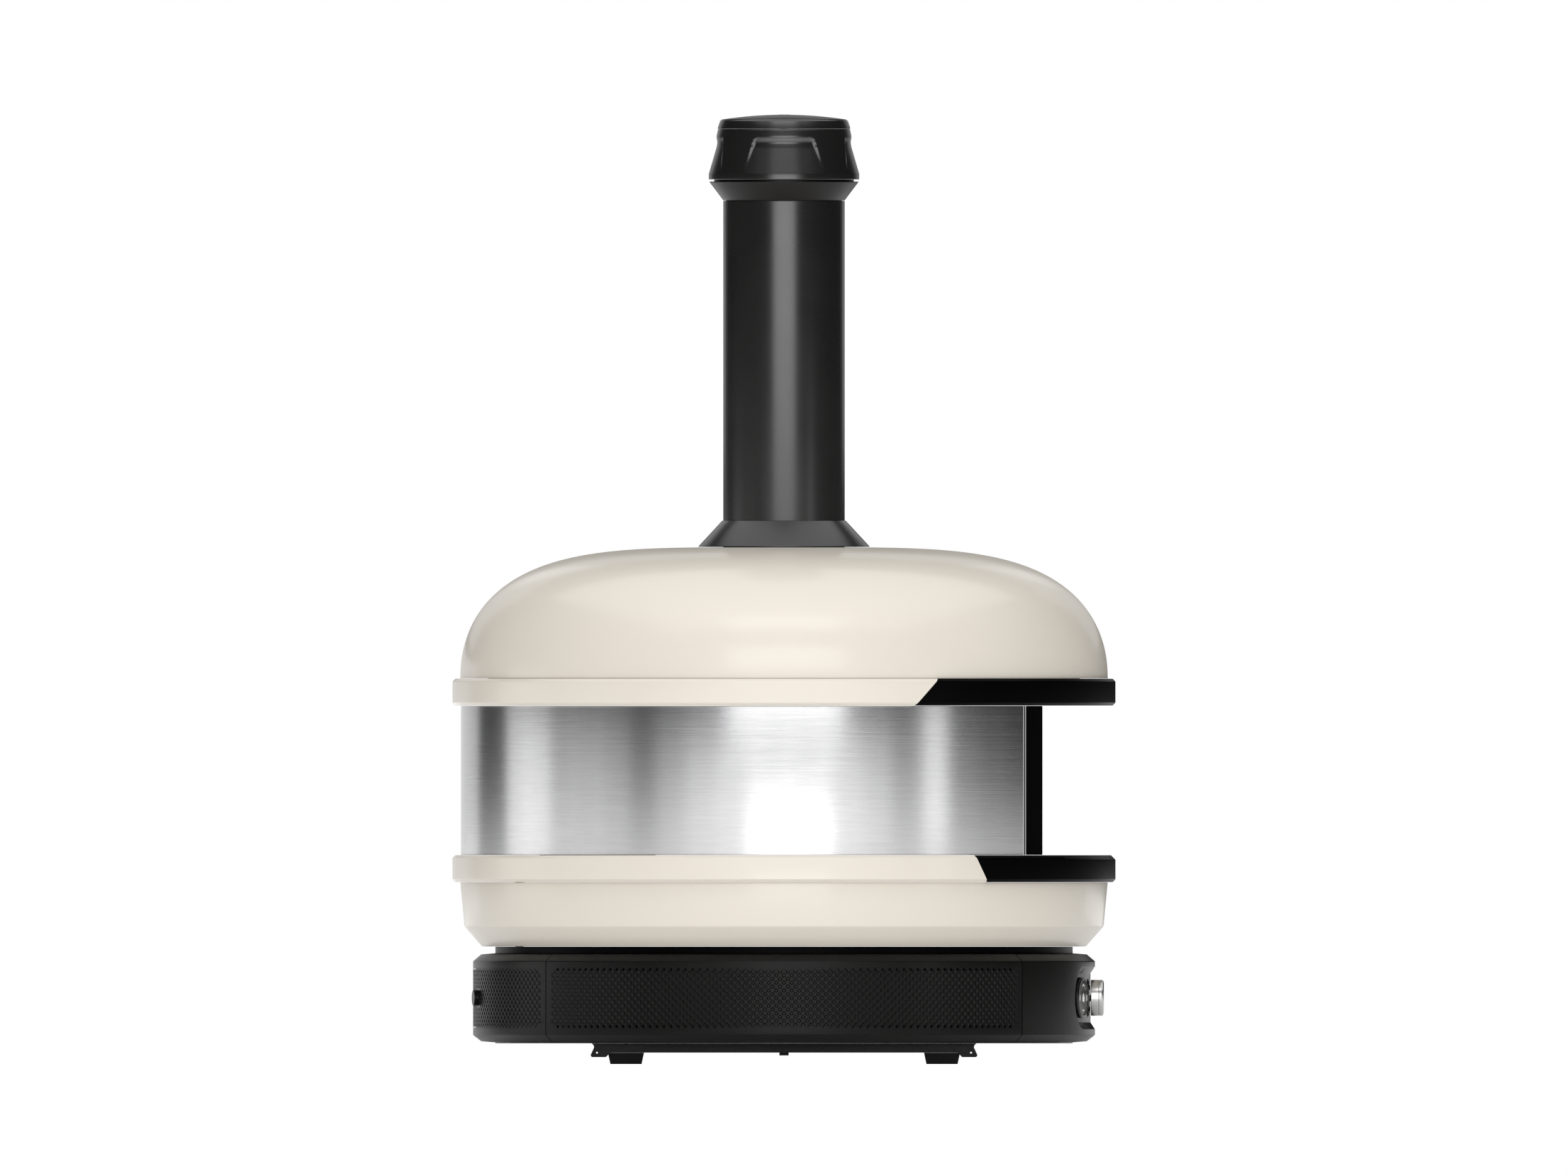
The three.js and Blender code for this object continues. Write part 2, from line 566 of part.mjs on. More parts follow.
const valveHalf = VALVE_SIZE / 2;
const plugFront = valveFront - FIT;
const plugBack = plugFront - PLUG_LENGTH;
const aroundDial = (from, to, half) => box(
  from, to, DIAL_OFFSET - half, DIAL_OFFSET + half, CONTROL_HEIGHT - half, CONTROL_HEIGHT + half,
);
const valveBody = aroundDial(valveBack, valveFront, valveHalf)
  .subtract(alongX(PLUG_RADIUS + FIT, plugBack - FIT, valveFront + OVERCUT));
piece(base, "valve_body", valveBody, BRASS);
const valveCover = aroundDial(valveFront + FIT, valveFront + FIT + SHEET, valveHalf - 4)
  .subtract(alongX(STEM_RADIUS + TURN_GAP, valveFront, valveFront + OVERCUT));
piece(base, "valve_cover", valveCover, DARK_STEEL);

// Turned pieces on the dial's axis, with the outline's height measured along +X.
function onDialAxis(name, outline, look, flats = FINE) {
  const mesh = piece(base, name, turned(outline, flats), look);
  mesh.rotation.y = Math.PI / 2;
  mesh.position.set(0, DIAL_OFFSET, CONTROL_HEIGHT);
}
const stemBack = plugBack + PLUG_FLOOR + DIAL_TRAVEL + 1;
onDialAxis("valve_plug", [
  [0, plugBack],
  [PLUG_RADIUS, plugBack],
  [PLUG_RADIUS, plugFront],
  [STEM_RADIUS + TURN_GAP, plugFront],
  [STEM_RADIUS + TURN_GAP, plugBack + PLUG_FLOOR],
  [0, plugBack + PLUG_FLOOR],
], BRASS);
const stemFront = dialBack + DIAL_THICK / 2;
onDialAxis("dial_stem", [
  [0, stemBack],
  [STEM_RADIUS, stemBack],
  [STEM_RADIUS, stemFront],
  [0, stemFront],
], STEEL);
onDialAxis("dial_skirt", [
  [STEM_RADIUS + FIT, dialBack - DIAL_SKIRT_LENGTH],
  [DIAL_SKIRT_RADIUS, dialBack - DIAL_SKIRT_LENGTH],
  [DIAL_SKIRT_RADIUS, dialBack - FIT],
  [STEM_RADIUS + FIT, dialBack - FIT],
], SATIN_BLACK);
onDialAxis("dial_knob", [
  [STEM_RADIUS + FIT, dialBack],
  [DIAL_RADIUS, dialBack],
  [DIAL_RADIUS, dialFace - DIAL_EDGE],
  [DIAL_RADIUS - 0.3 * DIAL_EDGE, dialFace - 0.3 * DIAL_EDGE],
  [DIAL_RADIUS - DIAL_EDGE, dialFace],
  [0, dialFace],
  [0, stemFront + FIT],
  [STEM_RADIUS + FIT, stemFront + FIT],
], KNOB_SILVER, 36);

// Turned pieces on a line pointing outwards from the centre at the controls' height.
function onRadialAxis(name, angle, outline, look, flats = FINE) {
  const holder = new THREE.Group();
  holder.rotation.z = radians(angle);
  base.add(holder);
  const mesh = piece(holder, name, turned(outline, flats), look);
  mesh.rotation.y = Math.PI / 2;
  mesh.position.z = CONTROL_HEIGHT;
}
const seat = floorRadius + FIT;
const bezelFace = seat + BEZEL_HEIGHT;
const bezelHole = BEZEL_RADIUS - BEZEL_LAND;
onRadialAxis("pad_bezel", PAD_ANGLE, [
  [bezelHole, seat],
  [BEZEL_RADIUS, seat],
  [BEZEL_RADIUS, bezelFace - BEZEL_CHAMFER],
  [BEZEL_RADIUS - BEZEL_CHAMFER, bezelFace],
  [bezelHole, bezelFace],
], SATIN_BLACK, 36);
const padRadius = bezelHole - TURN_GAP;
const padBack = seat + PAD_TRAVEL + FIT;
const moduleFront = floorRadius - MODULE_SETBACK;
const plungerBack = moduleFront + PAD_TRAVEL + 1;
onRadialAxis("ignition_pad", PAD_ANGLE, [
  [0, plungerBack],
  [PAD_PLUNGER, plungerBack],
  [PAD_PLUNGER, padBack],
  [padRadius, padBack],
  [padRadius, bezelFace - FIT],
  [0, bezelFace - FIT],
], SATIN_BLACK, 36);

onRadialAxis("gas_inlet", INLET_ANGLE, [
  [INLET_BORE, inletEnd],
  [INLET_BORE + INLET_WALL, inletEnd],
  [INLET_BORE + INLET_WALL, baseRadius - INLET_RECESS],
  [INLET_BORE, baseRadius - INLET_RECESS],
], BRASS);

const ignition = new THREE.Group();
ignition.rotation.z = radians(PAD_ANGLE);
base.add(ignition);
const moduleSolid = box(
  -MODULE_DEPTH, 0, -MODULE_WIDTH / 2, MODULE_WIDTH / 2, -MODULE_HEIGHT / 2, MODULE_HEIGHT / 2,
);
const module = piece(ignition, "ignition_module", moduleSolid, GREY_PLASTIC);
module.position.set(moduleFront, MODULE_SHIFT, CONTROL_HEIGHT);

// ---------------------------------------------------------------- lower pan, floor and stone
const lowerBody = assembly(zPan);
const panTop = domeRadius;
const panKnee = panTop - PAN_DRAFT;
const panFoot = panKnee - PAN_BEVEL_STEP;
const panSolid = turned([
  [0, 0],
  [panFoot, 0],
  [panKnee, PAN_BEVEL_HEIGHT],
  [panTop, PAN_HEIGHT],
  [panTop - SHEET, PAN_HEIGHT],
  [panKnee - SHEET, PAN_BEVEL_HEIGHT + 0.6],
  [panFoot - 1.1, SHEET],
  [0, SHEET],
]);
piece(lowerBody, "lower_pan", panSolid.subtract(riserHole(-1, SHEET + 1)), CREAM);
const floorFill = turned([
  [0, SHEET + FIT],
  [panFoot - 2, SHEET + FIT],
  [panKnee - SHEET - 1, PAN_BEVEL_HEIGHT + 1],
  [panKnee - SHEET - 1, PAN_HEIGHT],
  [0, PAN_HEIGHT],
]);
piece(lowerBody, "floor_insulation", floorFill.subtract(riserHole(-1, PAN_HEIGHT + 1)), FIBRE);

const floorAssembly = assembly(zLowerRim);
const frontCut = (low, high) => box(linerBack + LINER_SKIN, FAR, -FAR, FAR, low, high);
const tray = turned([
  [0, 0],
  [chamberOuter, 0],
  [chamberOuter, RIM_HEIGHT],
  [chamberRadius, RIM_HEIGHT],
  [chamberRadius, SHEET],
  [0, SHEET],
]).subtract(frontCut(-1, RIM_HEIGHT + 1)).subtract(riserHole(-1, SHEET + 1));
piece(floorAssembly, "stone_tray", tray, DARK_STEEL);

const stoneRadius = chamberRadius - STONE_REACH;
const channelInner = stoneRadius - BURNER_CHANNEL;
const rearSector = sector(180 - GUARD_ARC - 1, 180 + GUARD_ARC + 1, -1, 2 * RIM_HEIGHT);
const stoneLow = SHEET + FIT;
const stoneSolid = disc(stoneRadius, stoneLow, stoneLow + STONE_THICK)
  .subtract(frontCut(0, 2 * RIM_HEIGHT))
  .subtract(ring(channelInner, chamberRadius, 0, 2 * RIM_HEIGHT).intersect(rearSector));
piece(floorAssembly, "pizza_stone", stoneSolid, STONE);

const guardInner = channelInner + 1;
const guardHigh = stoneLow + STONE_THICK + GUARD_RISE;
const guardSolid = ring(guardInner, guardInner + GUARD_SKIN, stoneLow, guardHigh)
  .intersect(sector(180 - GUARD_ARC, 180 + GUARD_ARC, -1, guardHigh + OVERCUT));
piece(floorAssembly, "flame_guard", guardSolid, DARK_STEEL);

const burnerArc = new THREE.CatmullRomCurve3(
  Array.from({ length: 13 }, (_, i) => {
    const angle = radians(180 - BURNER_ARC + (i * BURNER_ARC) / 6);
    return new THREE.Vector3(burnerRadius * Math.cos(angle), burnerRadius * Math.sin(angle), 0);
  }),
);
const burnerSolid = rod(burnerArc, BURNER_TUBE, 18, 8, BURNER_WALL);
const burner = piece(floorAssembly, "burner_tube", burnerSolid, DARK_STEEL);
burner.position.z = burnerHeight - zLowerRim;

const electrodeSolid = disc(ELECTRODE_RADIUS, 0, ELECTRODE_LENGTH, 12);
const electrode = piece(floorAssembly, "igniter_electrode", electrodeSolid, CERAMIC);
electrode.rotation.y = Math.PI / 2;
electrode.position.set(ELECTRODE_GAP - chamberRadius, ELECTRODE_OFFSET, RIM_HEIGHT + ELECTRODE_RISE);

// ---------------------------------------------------------------- the two rims and what is let into them
// A rim is a pressed channel, open on its inner side, with small chamfers outside.
const rimSection = turned([
  [rimInner, 0],
  [RIM_RADIUS - RIM_CHAMFER, 0],
  [RIM_RADIUS, RIM_CHAMFER],
  [RIM_RADIUS, RIM_HEIGHT - RIM_CHAMFER],
  [RIM_RADIUS - RIM_CHAMFER, RIM_HEIGHT],
  [rimInner, RIM_HEIGHT],
  [rimInner, RIM_HEIGHT - RIM_SKIN],
  [RIM_RADIUS - RIM_SKIN - 1, RIM_HEIGHT - RIM_SKIN],
  [RIM_RADIUS - RIM_SKIN - 1, RIM_SKIN],
  [rimInner, RIM_SKIN],
]);
const jointAngle = (JOINT_GAP / RIM_RADIUS) * (180 / Math.PI);
const rimWedge = (low, high) => slantedFront(low, high, -0.01, RIM_HEIGHT + 0.01);
const frontRegion = box(linerBack + LINER_SKIN + FIT, FAR, -FAR, FAR, -1, RIM_HEIGHT + 1);

const lowerRim = rimSection.subtract(rimWedge(LANDING_ANGLE_LOW, LANDING_ANGLE_HIGH));
piece(floorAssembly, "lower_rim", lowerRim, CREAM);
const lipCut = turned([
  [RIM_RADIUS - LANDING_LIP_CHAMFER, RIM_HEIGHT + 1],
  [RIM_RADIUS - LANDING_LIP_CHAMFER, RIM_HEIGHT],
  [RIM_RADIUS, RIM_HEIGHT - LANDING_LIP_CHAMFER],
  [RIM_RADIUS + 1, RIM_HEIGHT - LANDING_LIP_CHAMFER],
  [RIM_RADIUS + 1, RIM_HEIGHT + 1],
]).intersect(box(LANDING_LIP_START, FAR, -FAR, FAR, -1, RIM_HEIGHT + 2));
const shelfRadius = RIM_RADIUS - LANDING_LIP_CHAMFER - 1;
const shelfPlate = disc(shelfRadius, RIM_HEIGHT - SOFFIT_SKIN, RIM_HEIGHT).intersect(frontRegion);
const landing = rimSection
  .add(shelfPlate)
  .intersect(rimWedge(LANDING_ANGLE_LOW - jointAngle, LANDING_ANGLE_HIGH - jointAngle))
  .add(shelfPlate.intersect(disc(rimInner + 1, 0, RIM_HEIGHT)))
  .subtract(lipCut);
piece(floorAssembly, "landing_shelf", landing, SATIN_BLACK);

const upperBody = assembly(zUpperRim);
piece(upperBody, "upper_rim", rimSection.subtract(rimWedge(VISOR_ANGLE_LOW, VISOR_ANGLE_HIGH)), CREAM);
const soffit = disc(RIM_RADIUS - RIM_CHAMFER - 1, 0, SOFFIT_SKIN).intersect(frontRegion);
const visor = rimSection
  .add(soffit)
  .intersect(rimWedge(VISOR_ANGLE_LOW - jointAngle, VISOR_ANGLE_HIGH - jointAngle));
piece(upperBody, "visor", visor, SATIN_BLACK);

// ---------------------------------------------------------------- band, chamber wall and front face
const middle = assembly(zBand);
const behind = (x) => box(-FAR, x, -FAR, FAR, -1, BAND_HEIGHT + 1);
const between = (low, high) => box(low, high, -FAR, FAR, -1, BAND_HEIGHT + 1);
const bandSolid = ring(bandRadius - BAND_SKIN, bandRadius, 0, BAND_HEIGHT).intersect(behind(hemBack - FIT));
piece(middle, "steel_band", bandSolid, STEEL);
const behindLiner = behind(linerBack - FIT);
const blanket = ring(chamberOuter + FIT, bandRadius - BAND_SKIN - FIT, 0, BAND_HEIGHT);
piece(middle, "band_insulation", blanket.intersect(behindLiner), FIBRE);
const chamberWall = ring(chamberRadius, chamberOuter, 0, BAND_HEIGHT).intersect(behindLiner);
piece(middle, "chamber_wall", chamberWall, DARK_STEEL);

// The mouth's outline: upright sides, round upper corners and a straight sill.
function mouthSolid(grow, from, to) {
  const half = MOUTH_WIDTH / 2 + grow;
  const low = MOUTH_SILL - grow;
  const high = MOUTH_SILL + MOUTH_HEIGHT + grow;
  const corner = MOUTH_CORNER + grow;
  const shape = new THREE.Shape();
  shape.moveTo(-half, low);
  shape.lineTo(half, low);
  shape.lineTo(half, high - corner);
  shape.absarc(half - corner, high - corner, corner, 0, Math.PI / 2);
  shape.lineTo(-half + corner, high);
  shape.absarc(-half + corner, high - corner, corner, Math.PI / 2, Math.PI);
  const upright = extruded(shape, to - from).rotateX(Math.PI / 2).rotateZ(Math.PI / 2);
  return toSolid(upright.translate(from, 0, 0));
}
const bodyDisc = (shrink) => disc(bandRadius - shrink, 0, BAND_HEIGHT);
const face = bodyDisc(0)
  .intersect(between(FACE_FRONT - FACE_DEPTH, FACE_FRONT))
  .subtract(mouthSolid(LINER_SKIN + FIT, 0, FAR));
piece(middle, "front_face", face, SATIN_BLACK);

const linerPlate = bodyDisc(BAND_SKIN + FIT).intersect(between(linerBack, linerBack + LINER_SKIN));
const linerSleeve = mouthSolid(LINER_SKIN, linerBack, FACE_FRONT - 0.5);
piece(middle, "mouth_liner", linerPlate.add(linerSleeve).subtract(mouthSolid(0, 0, FAR)), DARK_STEEL);

const hemRing = ring(bandRadius - HEM_WIDTH, bandRadius, 0, BAND_HEIGHT)
  .intersect(between(hemBack, hemBack + HEM_DEPTH));
piece(middle, "band_hem_left", hemRing.intersect(box(0, FAR, 0, FAR, -1, FAR)), DARK_STEEL);
piece(middle, "band_hem_right", hemRing.intersect(box(0, FAR, -FAR, 0, -1, FAR)), DARK_STEEL);

// ---------------------------------------------------------------- dome
const top = assembly(zDome);

// Points on the dome's curve, drawn in by an inset, from its foot up to a hole round the axis.
function domeCurve(inset, hole, steps) {
  const a = domeRadius - inset;
  const b = DOME_HEIGHT - inset;
  const end = Math.acos((hole / a) ** (DOME_SHOULDER / 2));
  return Array.from({ length: steps + 1 }, (_, i) => {
    const turn = (end * i) / steps;
    return [a * Math.cos(turn) ** (2 / DOME_SHOULDER), b * Math.sin(turn) ** (2 / DOME_CROWN)];
  });
}
const domeSkin = (outerInset, innerInset, hole, steps) =>
  turned([...domeCurve(outerInset, hole, steps), ...domeCurve(innerInset, hole, steps).reverse()]);

piece(top, "dome_shell", domeSkin(0, SHEET, FLUE_RADIUS + 0.6, 10), CREAM);
const fillInner = domeRadius - chamberOuter - FIT;
piece(top, "dome_insulation", domeSkin(SHEET + 1.5, fillInner - 3, FLUE_RADIUS + 1, 5), FIBRE);

// The inner dome stands on the chamber wall and ends in a short neck inside the flue.
const flueInner = FLUE_RADIUS - FLUE_WALL;
const neckOuter = flueInner - 2 * FIT;
const neckInner = neckOuter - CHAMBER_SKIN;
const innerInset = domeRadius - chamberOuter;
const outerCurve = domeCurve(innerInset, neckOuter, 7);
const innerCurve = domeCurve(innerInset + CHAMBER_SKIN, neckInner, 7);
const ceiling = outerCurve.at(-1)[1];
const neckTop = ceiling + NECK_HEIGHT;
const skirtDrop = -(RIM_HEIGHT + FIT);
const overSoffit = box(linerBack, FAR, -FAR, FAR, skirtDrop - OVERCUT, skirtDrop + SOFFIT_SKIN + FIT);
const innerDome = turned([
  [chamberOuter, skirtDrop],
  ...outerCurve,
  [neckOuter, neckTop],
  [neckInner, neckTop],
  ...innerCurve.reverse(),
  [chamberRadius, skirtDrop],
]).subtract(overSoffit);
piece(top, "inner_dome", innerDome, DARK_STEEL);

// ---------------------------------------------------------------- flue
const flue = assembly(zFlue);
const skirtTop = FLUE_RADIUS + 1;
piece(flue, "flue_skirt", turned([
  [FLUE_SKIRT_RADIUS, FIT],
  [skirtTop, FLUE_SKIRT_HEIGHT],
  [FLUE_RADIUS + FIT, FLUE_SKIRT_HEIGHT],
  [FLUE_RADIUS + FIT, FLUE_SKIRT_HEIGHT - FLUE_SKIRT_SKIN],
  [FLUE_SKIRT_RADIUS - FLUE_SKIRT_SKIN, FIT],
], CHIMNEY_FLATS), FLUE_BLACK);
const tubeFoot = ceiling - DOME_HEIGHT + 1.5;
const tubeTop = FLUE_SKIRT_HEIGHT + FLUE_LENGTH;
piece(flue, "flue_tube", ring(flueInner, FLUE_RADIUS, tubeFoot, tubeTop, CHIMNEY_FLATS), FLUE_BLACK);

const crown = assembly(zCollar);
const collarTop = FLUE_RADIUS + COLLAR_FLARE;
const collarInnerTop = collarTop - COLLAR_SKIN;
piece(crown, "flue_collar", turned([
  [neckInner, -COLLAR_SPIGOT],
  [neckOuter, -COLLAR_SPIGOT],
  [neckOuter, 0],
  [FLUE_RADIUS, 0],
  [collarTop, COLLAR_HEIGHT],
  [collarInnerTop, COLLAR_HEIGHT],
  [neckInner, -COLLAR_STEP],
], CHIMNEY_FLATS), FLUE_BLACK);

// ---------------------------------------------------------------- damper plates
const coneRise = (collarInnerTop - neckInner) / (COLLAR_HEIGHT + COLLAR_STEP);
const coneRadiusAt = (z) => neckInner + (z + COLLAR_STEP) * coneRise;
function damperPlate(low, bore) {
  const radius = coneRadiusAt(low) - 1;
  const slot = ring(DAMPER_HUB, radius - DAMPER_EDGE, low - 1, low + DAMPER_SHEET + 1, CHIMNEY_FLATS);
  let plate = ring(bore, radius, low, low + DAMPER_SHEET, CHIMNEY_FLATS);
  for (let i = 0; i < DAMPER_SLOTS; i += 1) {
    const centre = (360 / DAMPER_SLOTS) * i;
    const part = sector(centre - DAMPER_SLOT_HALF, centre + DAMPER_SLOT_HALF, low - OVERCUT, low + OVERCUT);
    plate = plate.subtract(slot.intersect(part));
  }
  return plate;
}
const plateLow = COLLAR_HEIGHT - DAMPER_DROP;
piece(crown, "damper_plate_fixed", damperPlate(plateLow, SPINDLE_RADIUS + TURN_GAP), DARK_STEEL);
const turningLow = plateLow + DAMPER_SHEET + TURN_GAP;
piece(crown, "damper_plate_turning", damperPlate(turningLow, SPINDLE_RADIUS + FIT), DARK_STEEL);

// ---------------------------------------------------------------- turning cap
const capFoot = collarTop + 0.3;
const capTop = capFoot - CAP_TAPER;
const capHeight = CAP_LIP + CAP_CONE;
const spindleHead = plateLow - TURN_GAP - 2 * FIT;
const spindleFoot = spindleHead - 5;
const spindleTop = zCap - zCollar + capHeight + LID_HEIGHT - CAP_SKIN - 2;
piece(crown, "cap_spindle", turned([
  [0, spindleFoot],
  [2 * SPINDLE_RADIUS, spindleFoot],
  [2 * SPINDLE_RADIUS, spindleHead],
  [SPINDLE_RADIUS, spindleHead],
  [SPINDLE_RADIUS, spindleTop],
  [0, spindleTop],
], FINE), STEEL);

const cap = assembly(zCap);
const recessTop = capHeight - CAP_SHOULDER;
// How deep a finger recess is at a height and at an angle from the middle of the recess.
function gripDepth(z, angle) {
  const along = THREE.MathUtils.clamp((z - CAP_LIP) / (recessTop - CAP_LIP), 0, 1);
  const half = GRIP_HALF_LOW + (GRIP_HALF_HIGH - GRIP_HALF_LOW) * along;
  const fromSide = (half - Math.abs(angle)) / GRIP_SIDE;
  const fromTop = (recessTop - z) / GRIP_LEDGE;
  const fade = THREE.MathUtils.clamp((z - CAP_LIP) / GRIP_FADE, 0, 1);
  return GRIP_DEPTH * fade * THREE.MathUtils.clamp(Math.min(fromSide, fromTop), 0, 1);
}
function cowlSolid() {
  const ledge = recessTop - GRIP_LEDGE;
  const coneAt = (z) => capFoot - (CAP_TAPER * (z - CAP_LIP)) / CAP_CONE;
  const levels = [CAP_LIP, CAP_LIP + GRIP_FADE, ledge, ledge + GRIP_LEDGE / 2, recessTop, capHeight];
  const outside = levels.map((z) => [coneAt(z), z]);
  const outline = [
    [capFoot - CAP_SKIN, 0],
    [capFoot, 0],
    ...outside,
    [capTop - CAP_FLANGE, capHeight],
    [capTop - CAP_FLANGE, capHeight - SHEET],
    [capTop - CAP_SKIN - SHEET, capHeight - SHEET],
    [coneAt(CAP_LIP) - CAP_SKIN - SHEET, CAP_LIP],
  ];
  const shape = turnedGeometry(outline, CAP_FLATS);
  const spot = shape.attributes.position;
  for (let i = 0; i < spot.count; i += 1) {
    const x = spot.getX(i);
    const y = spot.getY(i);
    const z = spot.getZ(i);
    const radius = Math.hypot(x, y);
    const degrees = (Math.atan2(y, x) * 180) / Math.PI;
    const offset = degrees - 90 * Math.round(degrees / 90);
    const outer = z >= CAP_LIP && radius > coneAt(z) - 0.5;
    const scale = outer ? (radius - gripDepth(z, offset)) / radius : 1;
    spot.setXY(i, x * scale, y * scale);
  }
  return toSolid(shape);
}
piece(cap, "cap_cowl", cowlSolid(), FLUE_BLACK);

const lidBase = capHeight + SNUG;
const lidTop = lidBase + LID_HEIGHT;
const lidRadius = capTop + LID_OVERHANG;
const crownRadius = lidRadius - LID_TOP_STEP;
const crownPoints = Array.from({ length: 4 }, (_, i) => {
  const share = 1 - i / 3;
  return [crownRadius * share, lidTop + LID_CROWN * (1 - share ** 2)];
});
const recessFloor = lidTop + LID_CROWN - SCREW_RECESS_DEPTH;
const lidSolid = turned([
  [0, lidTop - CAP_SKIN],
  [crownRadius - 0.5, lidTop - CAP_SKIN],
  [lidRadius - CAP_SKIN - 0.5, lidBase],
  [lidRadius, lidBase],
  [lidRadius - 2.6, lidTop - 1.4],
  ...crownPoints,
], CHIMNEY_FLATS);
const screwRecess = disc(SCREW_RECESS_RADIUS, recessFloor, lidTop + LID_CROWN + OVERCUT, FINE);
piece(cap, "cap_lid", lidSolid.subtract(screwRecess), FLUE_BLACK);
const screwLow = recessFloor + FIT;
piece(cap, "cap_screw", disc(SCREW_RADIUS, screwLow, screwLow + SCREW_HEIGHT, FINE), DARK_STEEL);

export default oven;
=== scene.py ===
# %% [markdown]
# # A round gas pizza oven
# The oven is a stack of round pieces on one upright axis: a drum base, an enamelled pan, two rims with a
# brushed steel band between them, a dome and a flue with a turning cap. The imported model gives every
# place and size, so this file only makes the smooth surfaces and the finishes that sit on it.

# %% Load the frame
import json
import math

import bmesh
import bpy
from mathutils import Matrix, Vector


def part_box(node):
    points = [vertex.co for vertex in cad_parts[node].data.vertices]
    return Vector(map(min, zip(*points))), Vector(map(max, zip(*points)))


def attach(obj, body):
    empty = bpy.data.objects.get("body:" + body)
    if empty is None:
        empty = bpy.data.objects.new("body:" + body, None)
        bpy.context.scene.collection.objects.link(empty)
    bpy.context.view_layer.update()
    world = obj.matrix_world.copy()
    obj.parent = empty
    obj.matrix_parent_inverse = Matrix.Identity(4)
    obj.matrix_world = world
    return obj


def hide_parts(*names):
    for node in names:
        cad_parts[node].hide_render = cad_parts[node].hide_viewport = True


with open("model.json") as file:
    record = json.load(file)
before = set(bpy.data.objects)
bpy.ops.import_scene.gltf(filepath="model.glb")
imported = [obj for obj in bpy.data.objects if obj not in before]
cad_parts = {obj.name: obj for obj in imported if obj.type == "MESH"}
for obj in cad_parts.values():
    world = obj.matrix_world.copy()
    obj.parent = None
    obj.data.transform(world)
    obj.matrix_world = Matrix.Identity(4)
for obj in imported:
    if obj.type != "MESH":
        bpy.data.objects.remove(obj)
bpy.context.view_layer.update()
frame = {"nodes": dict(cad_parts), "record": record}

MM = 0.001
nodes = frame["nodes"]

# %% [markdown]
# ## Reading the frame
# Every turned node has a corner on the -X side or the +X side, so the edge of its box is its true radius.
# Two small readers keep the sizes below tied to the model: change the model, and the surfaces follow.

# %% Read heights and radii
def low_of(node):
    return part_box(node)[0].z


def high_of(node):
    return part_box(node)[1].z


def radius_of(node):
    low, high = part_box(node)
    return max(-low.x, high.x)


RIM = radius_of("upper_rim")
BAND = radius_of("steel_band")
DOME = radius_of("dome_shell")
BASE = radius_of("base_panel_rear")
FLUE = radius_of("flue_tube")
print(f"radii in mm: rim {RIM / MM:.1f}, band {BAND / MM:.1f}, base {BASE / MM:.1f}, flue {FLUE / MM:.1f}")

# %% [markdown]
# ## The camera and the studio
# The oven is seen level and square from its right-hand side, from so far away that nothing converges: an
# orthographic camera gives that. The room is dark, with a white wall that only the camera sees, so black
# enamel stays black. Soft panels stand round the oven, and each one becomes an upright strip of light in
# the steel band and in the flue. The low panels end below the dome, so they light the band and leave the
# flue dark. The plain Standard view keeps white paper white.

# %% Camera
VIEW_WIDTH = 1.548
VIEW_HEIGHT = 0.470
CAMERA_DISTANCE = 6.0

camera_data = bpy.data.cameras.new("camera")
camera_data.type = "ORTHO"
camera_data.ortho_scale = VIEW_WIDTH
camera = bpy.data.objects.new("camera", camera_data)
camera.location = (0, -CAMERA_DISTANCE, VIEW_HEIGHT)
camera.rotation_euler = (math.radians(90), 0, 0)
bpy.context.scene.collection.objects.link(camera)
bpy.context.scene.camera = camera
bpy.context.scene.view_settings.view_transform = "Standard"

# %% Room and floor
ROOM_TONE = (0.012, 0.012, 0.0125, 1)
FILL_TONE = (0.53, 0.53, 0.53, 1)
WALL_WHITE = (1, 1, 1, 1)
FLOOR_SIZE = 14.0

room = bpy.data.worlds.new("studio")
room.use_nodes = True
room_tree = room.node_tree
room_tree.nodes.clear()
ray = room_tree.nodes.new("ShaderNodeLightPath")
glow = {}
for name, tone in (("room", ROOM_TONE), ("fill", FILL_TONE), ("wall", WALL_WHITE)):
    glow[name] = room_tree.nodes.new("ShaderNodeBackground")
    glow[name].inputs["Color"].default_value = tone
matt_rays = room_tree.nodes.new("ShaderNodeMixShader")
camera_rays = room_tree.nodes.new("ShaderNodeMixShader")
room_output = room_tree.nodes.new("ShaderNodeOutputWorld")
for source, target in (
    (ray.outputs["Is Diffuse Ray"], matt_rays.inputs[0]),
    (glow["room"].outputs[0], matt_rays.inputs[1]),
    (glow["fill"].outputs[0], matt_rays.inputs[2]),
    (ray.outputs["Is Camera Ray"], camera_rays.inputs[0]),
    (matt_rays.outputs[0], camera_rays.inputs[1]),
    (glow["wall"].outputs[0], camera_rays.inputs[2]),
    (camera_rays.outputs[0], room_output.inputs[0]),
):
    room_tree.links.new(source, target)
bpy.context.scene.world = room

floor_mesh = bpy.data.meshes.new("studio_floor")
half = FLOOR_SIZE / 2
floor_mesh.from_pydata([(-half, -half, 0), (half, -half, 0), (half, half, 0), (-half, half, 0)], [], [(0, 1, 2, 3)])
floor = bpy.data.objects.new("studio_floor", floor_mesh)
bpy.context.scene.collection.objects.link(floor)

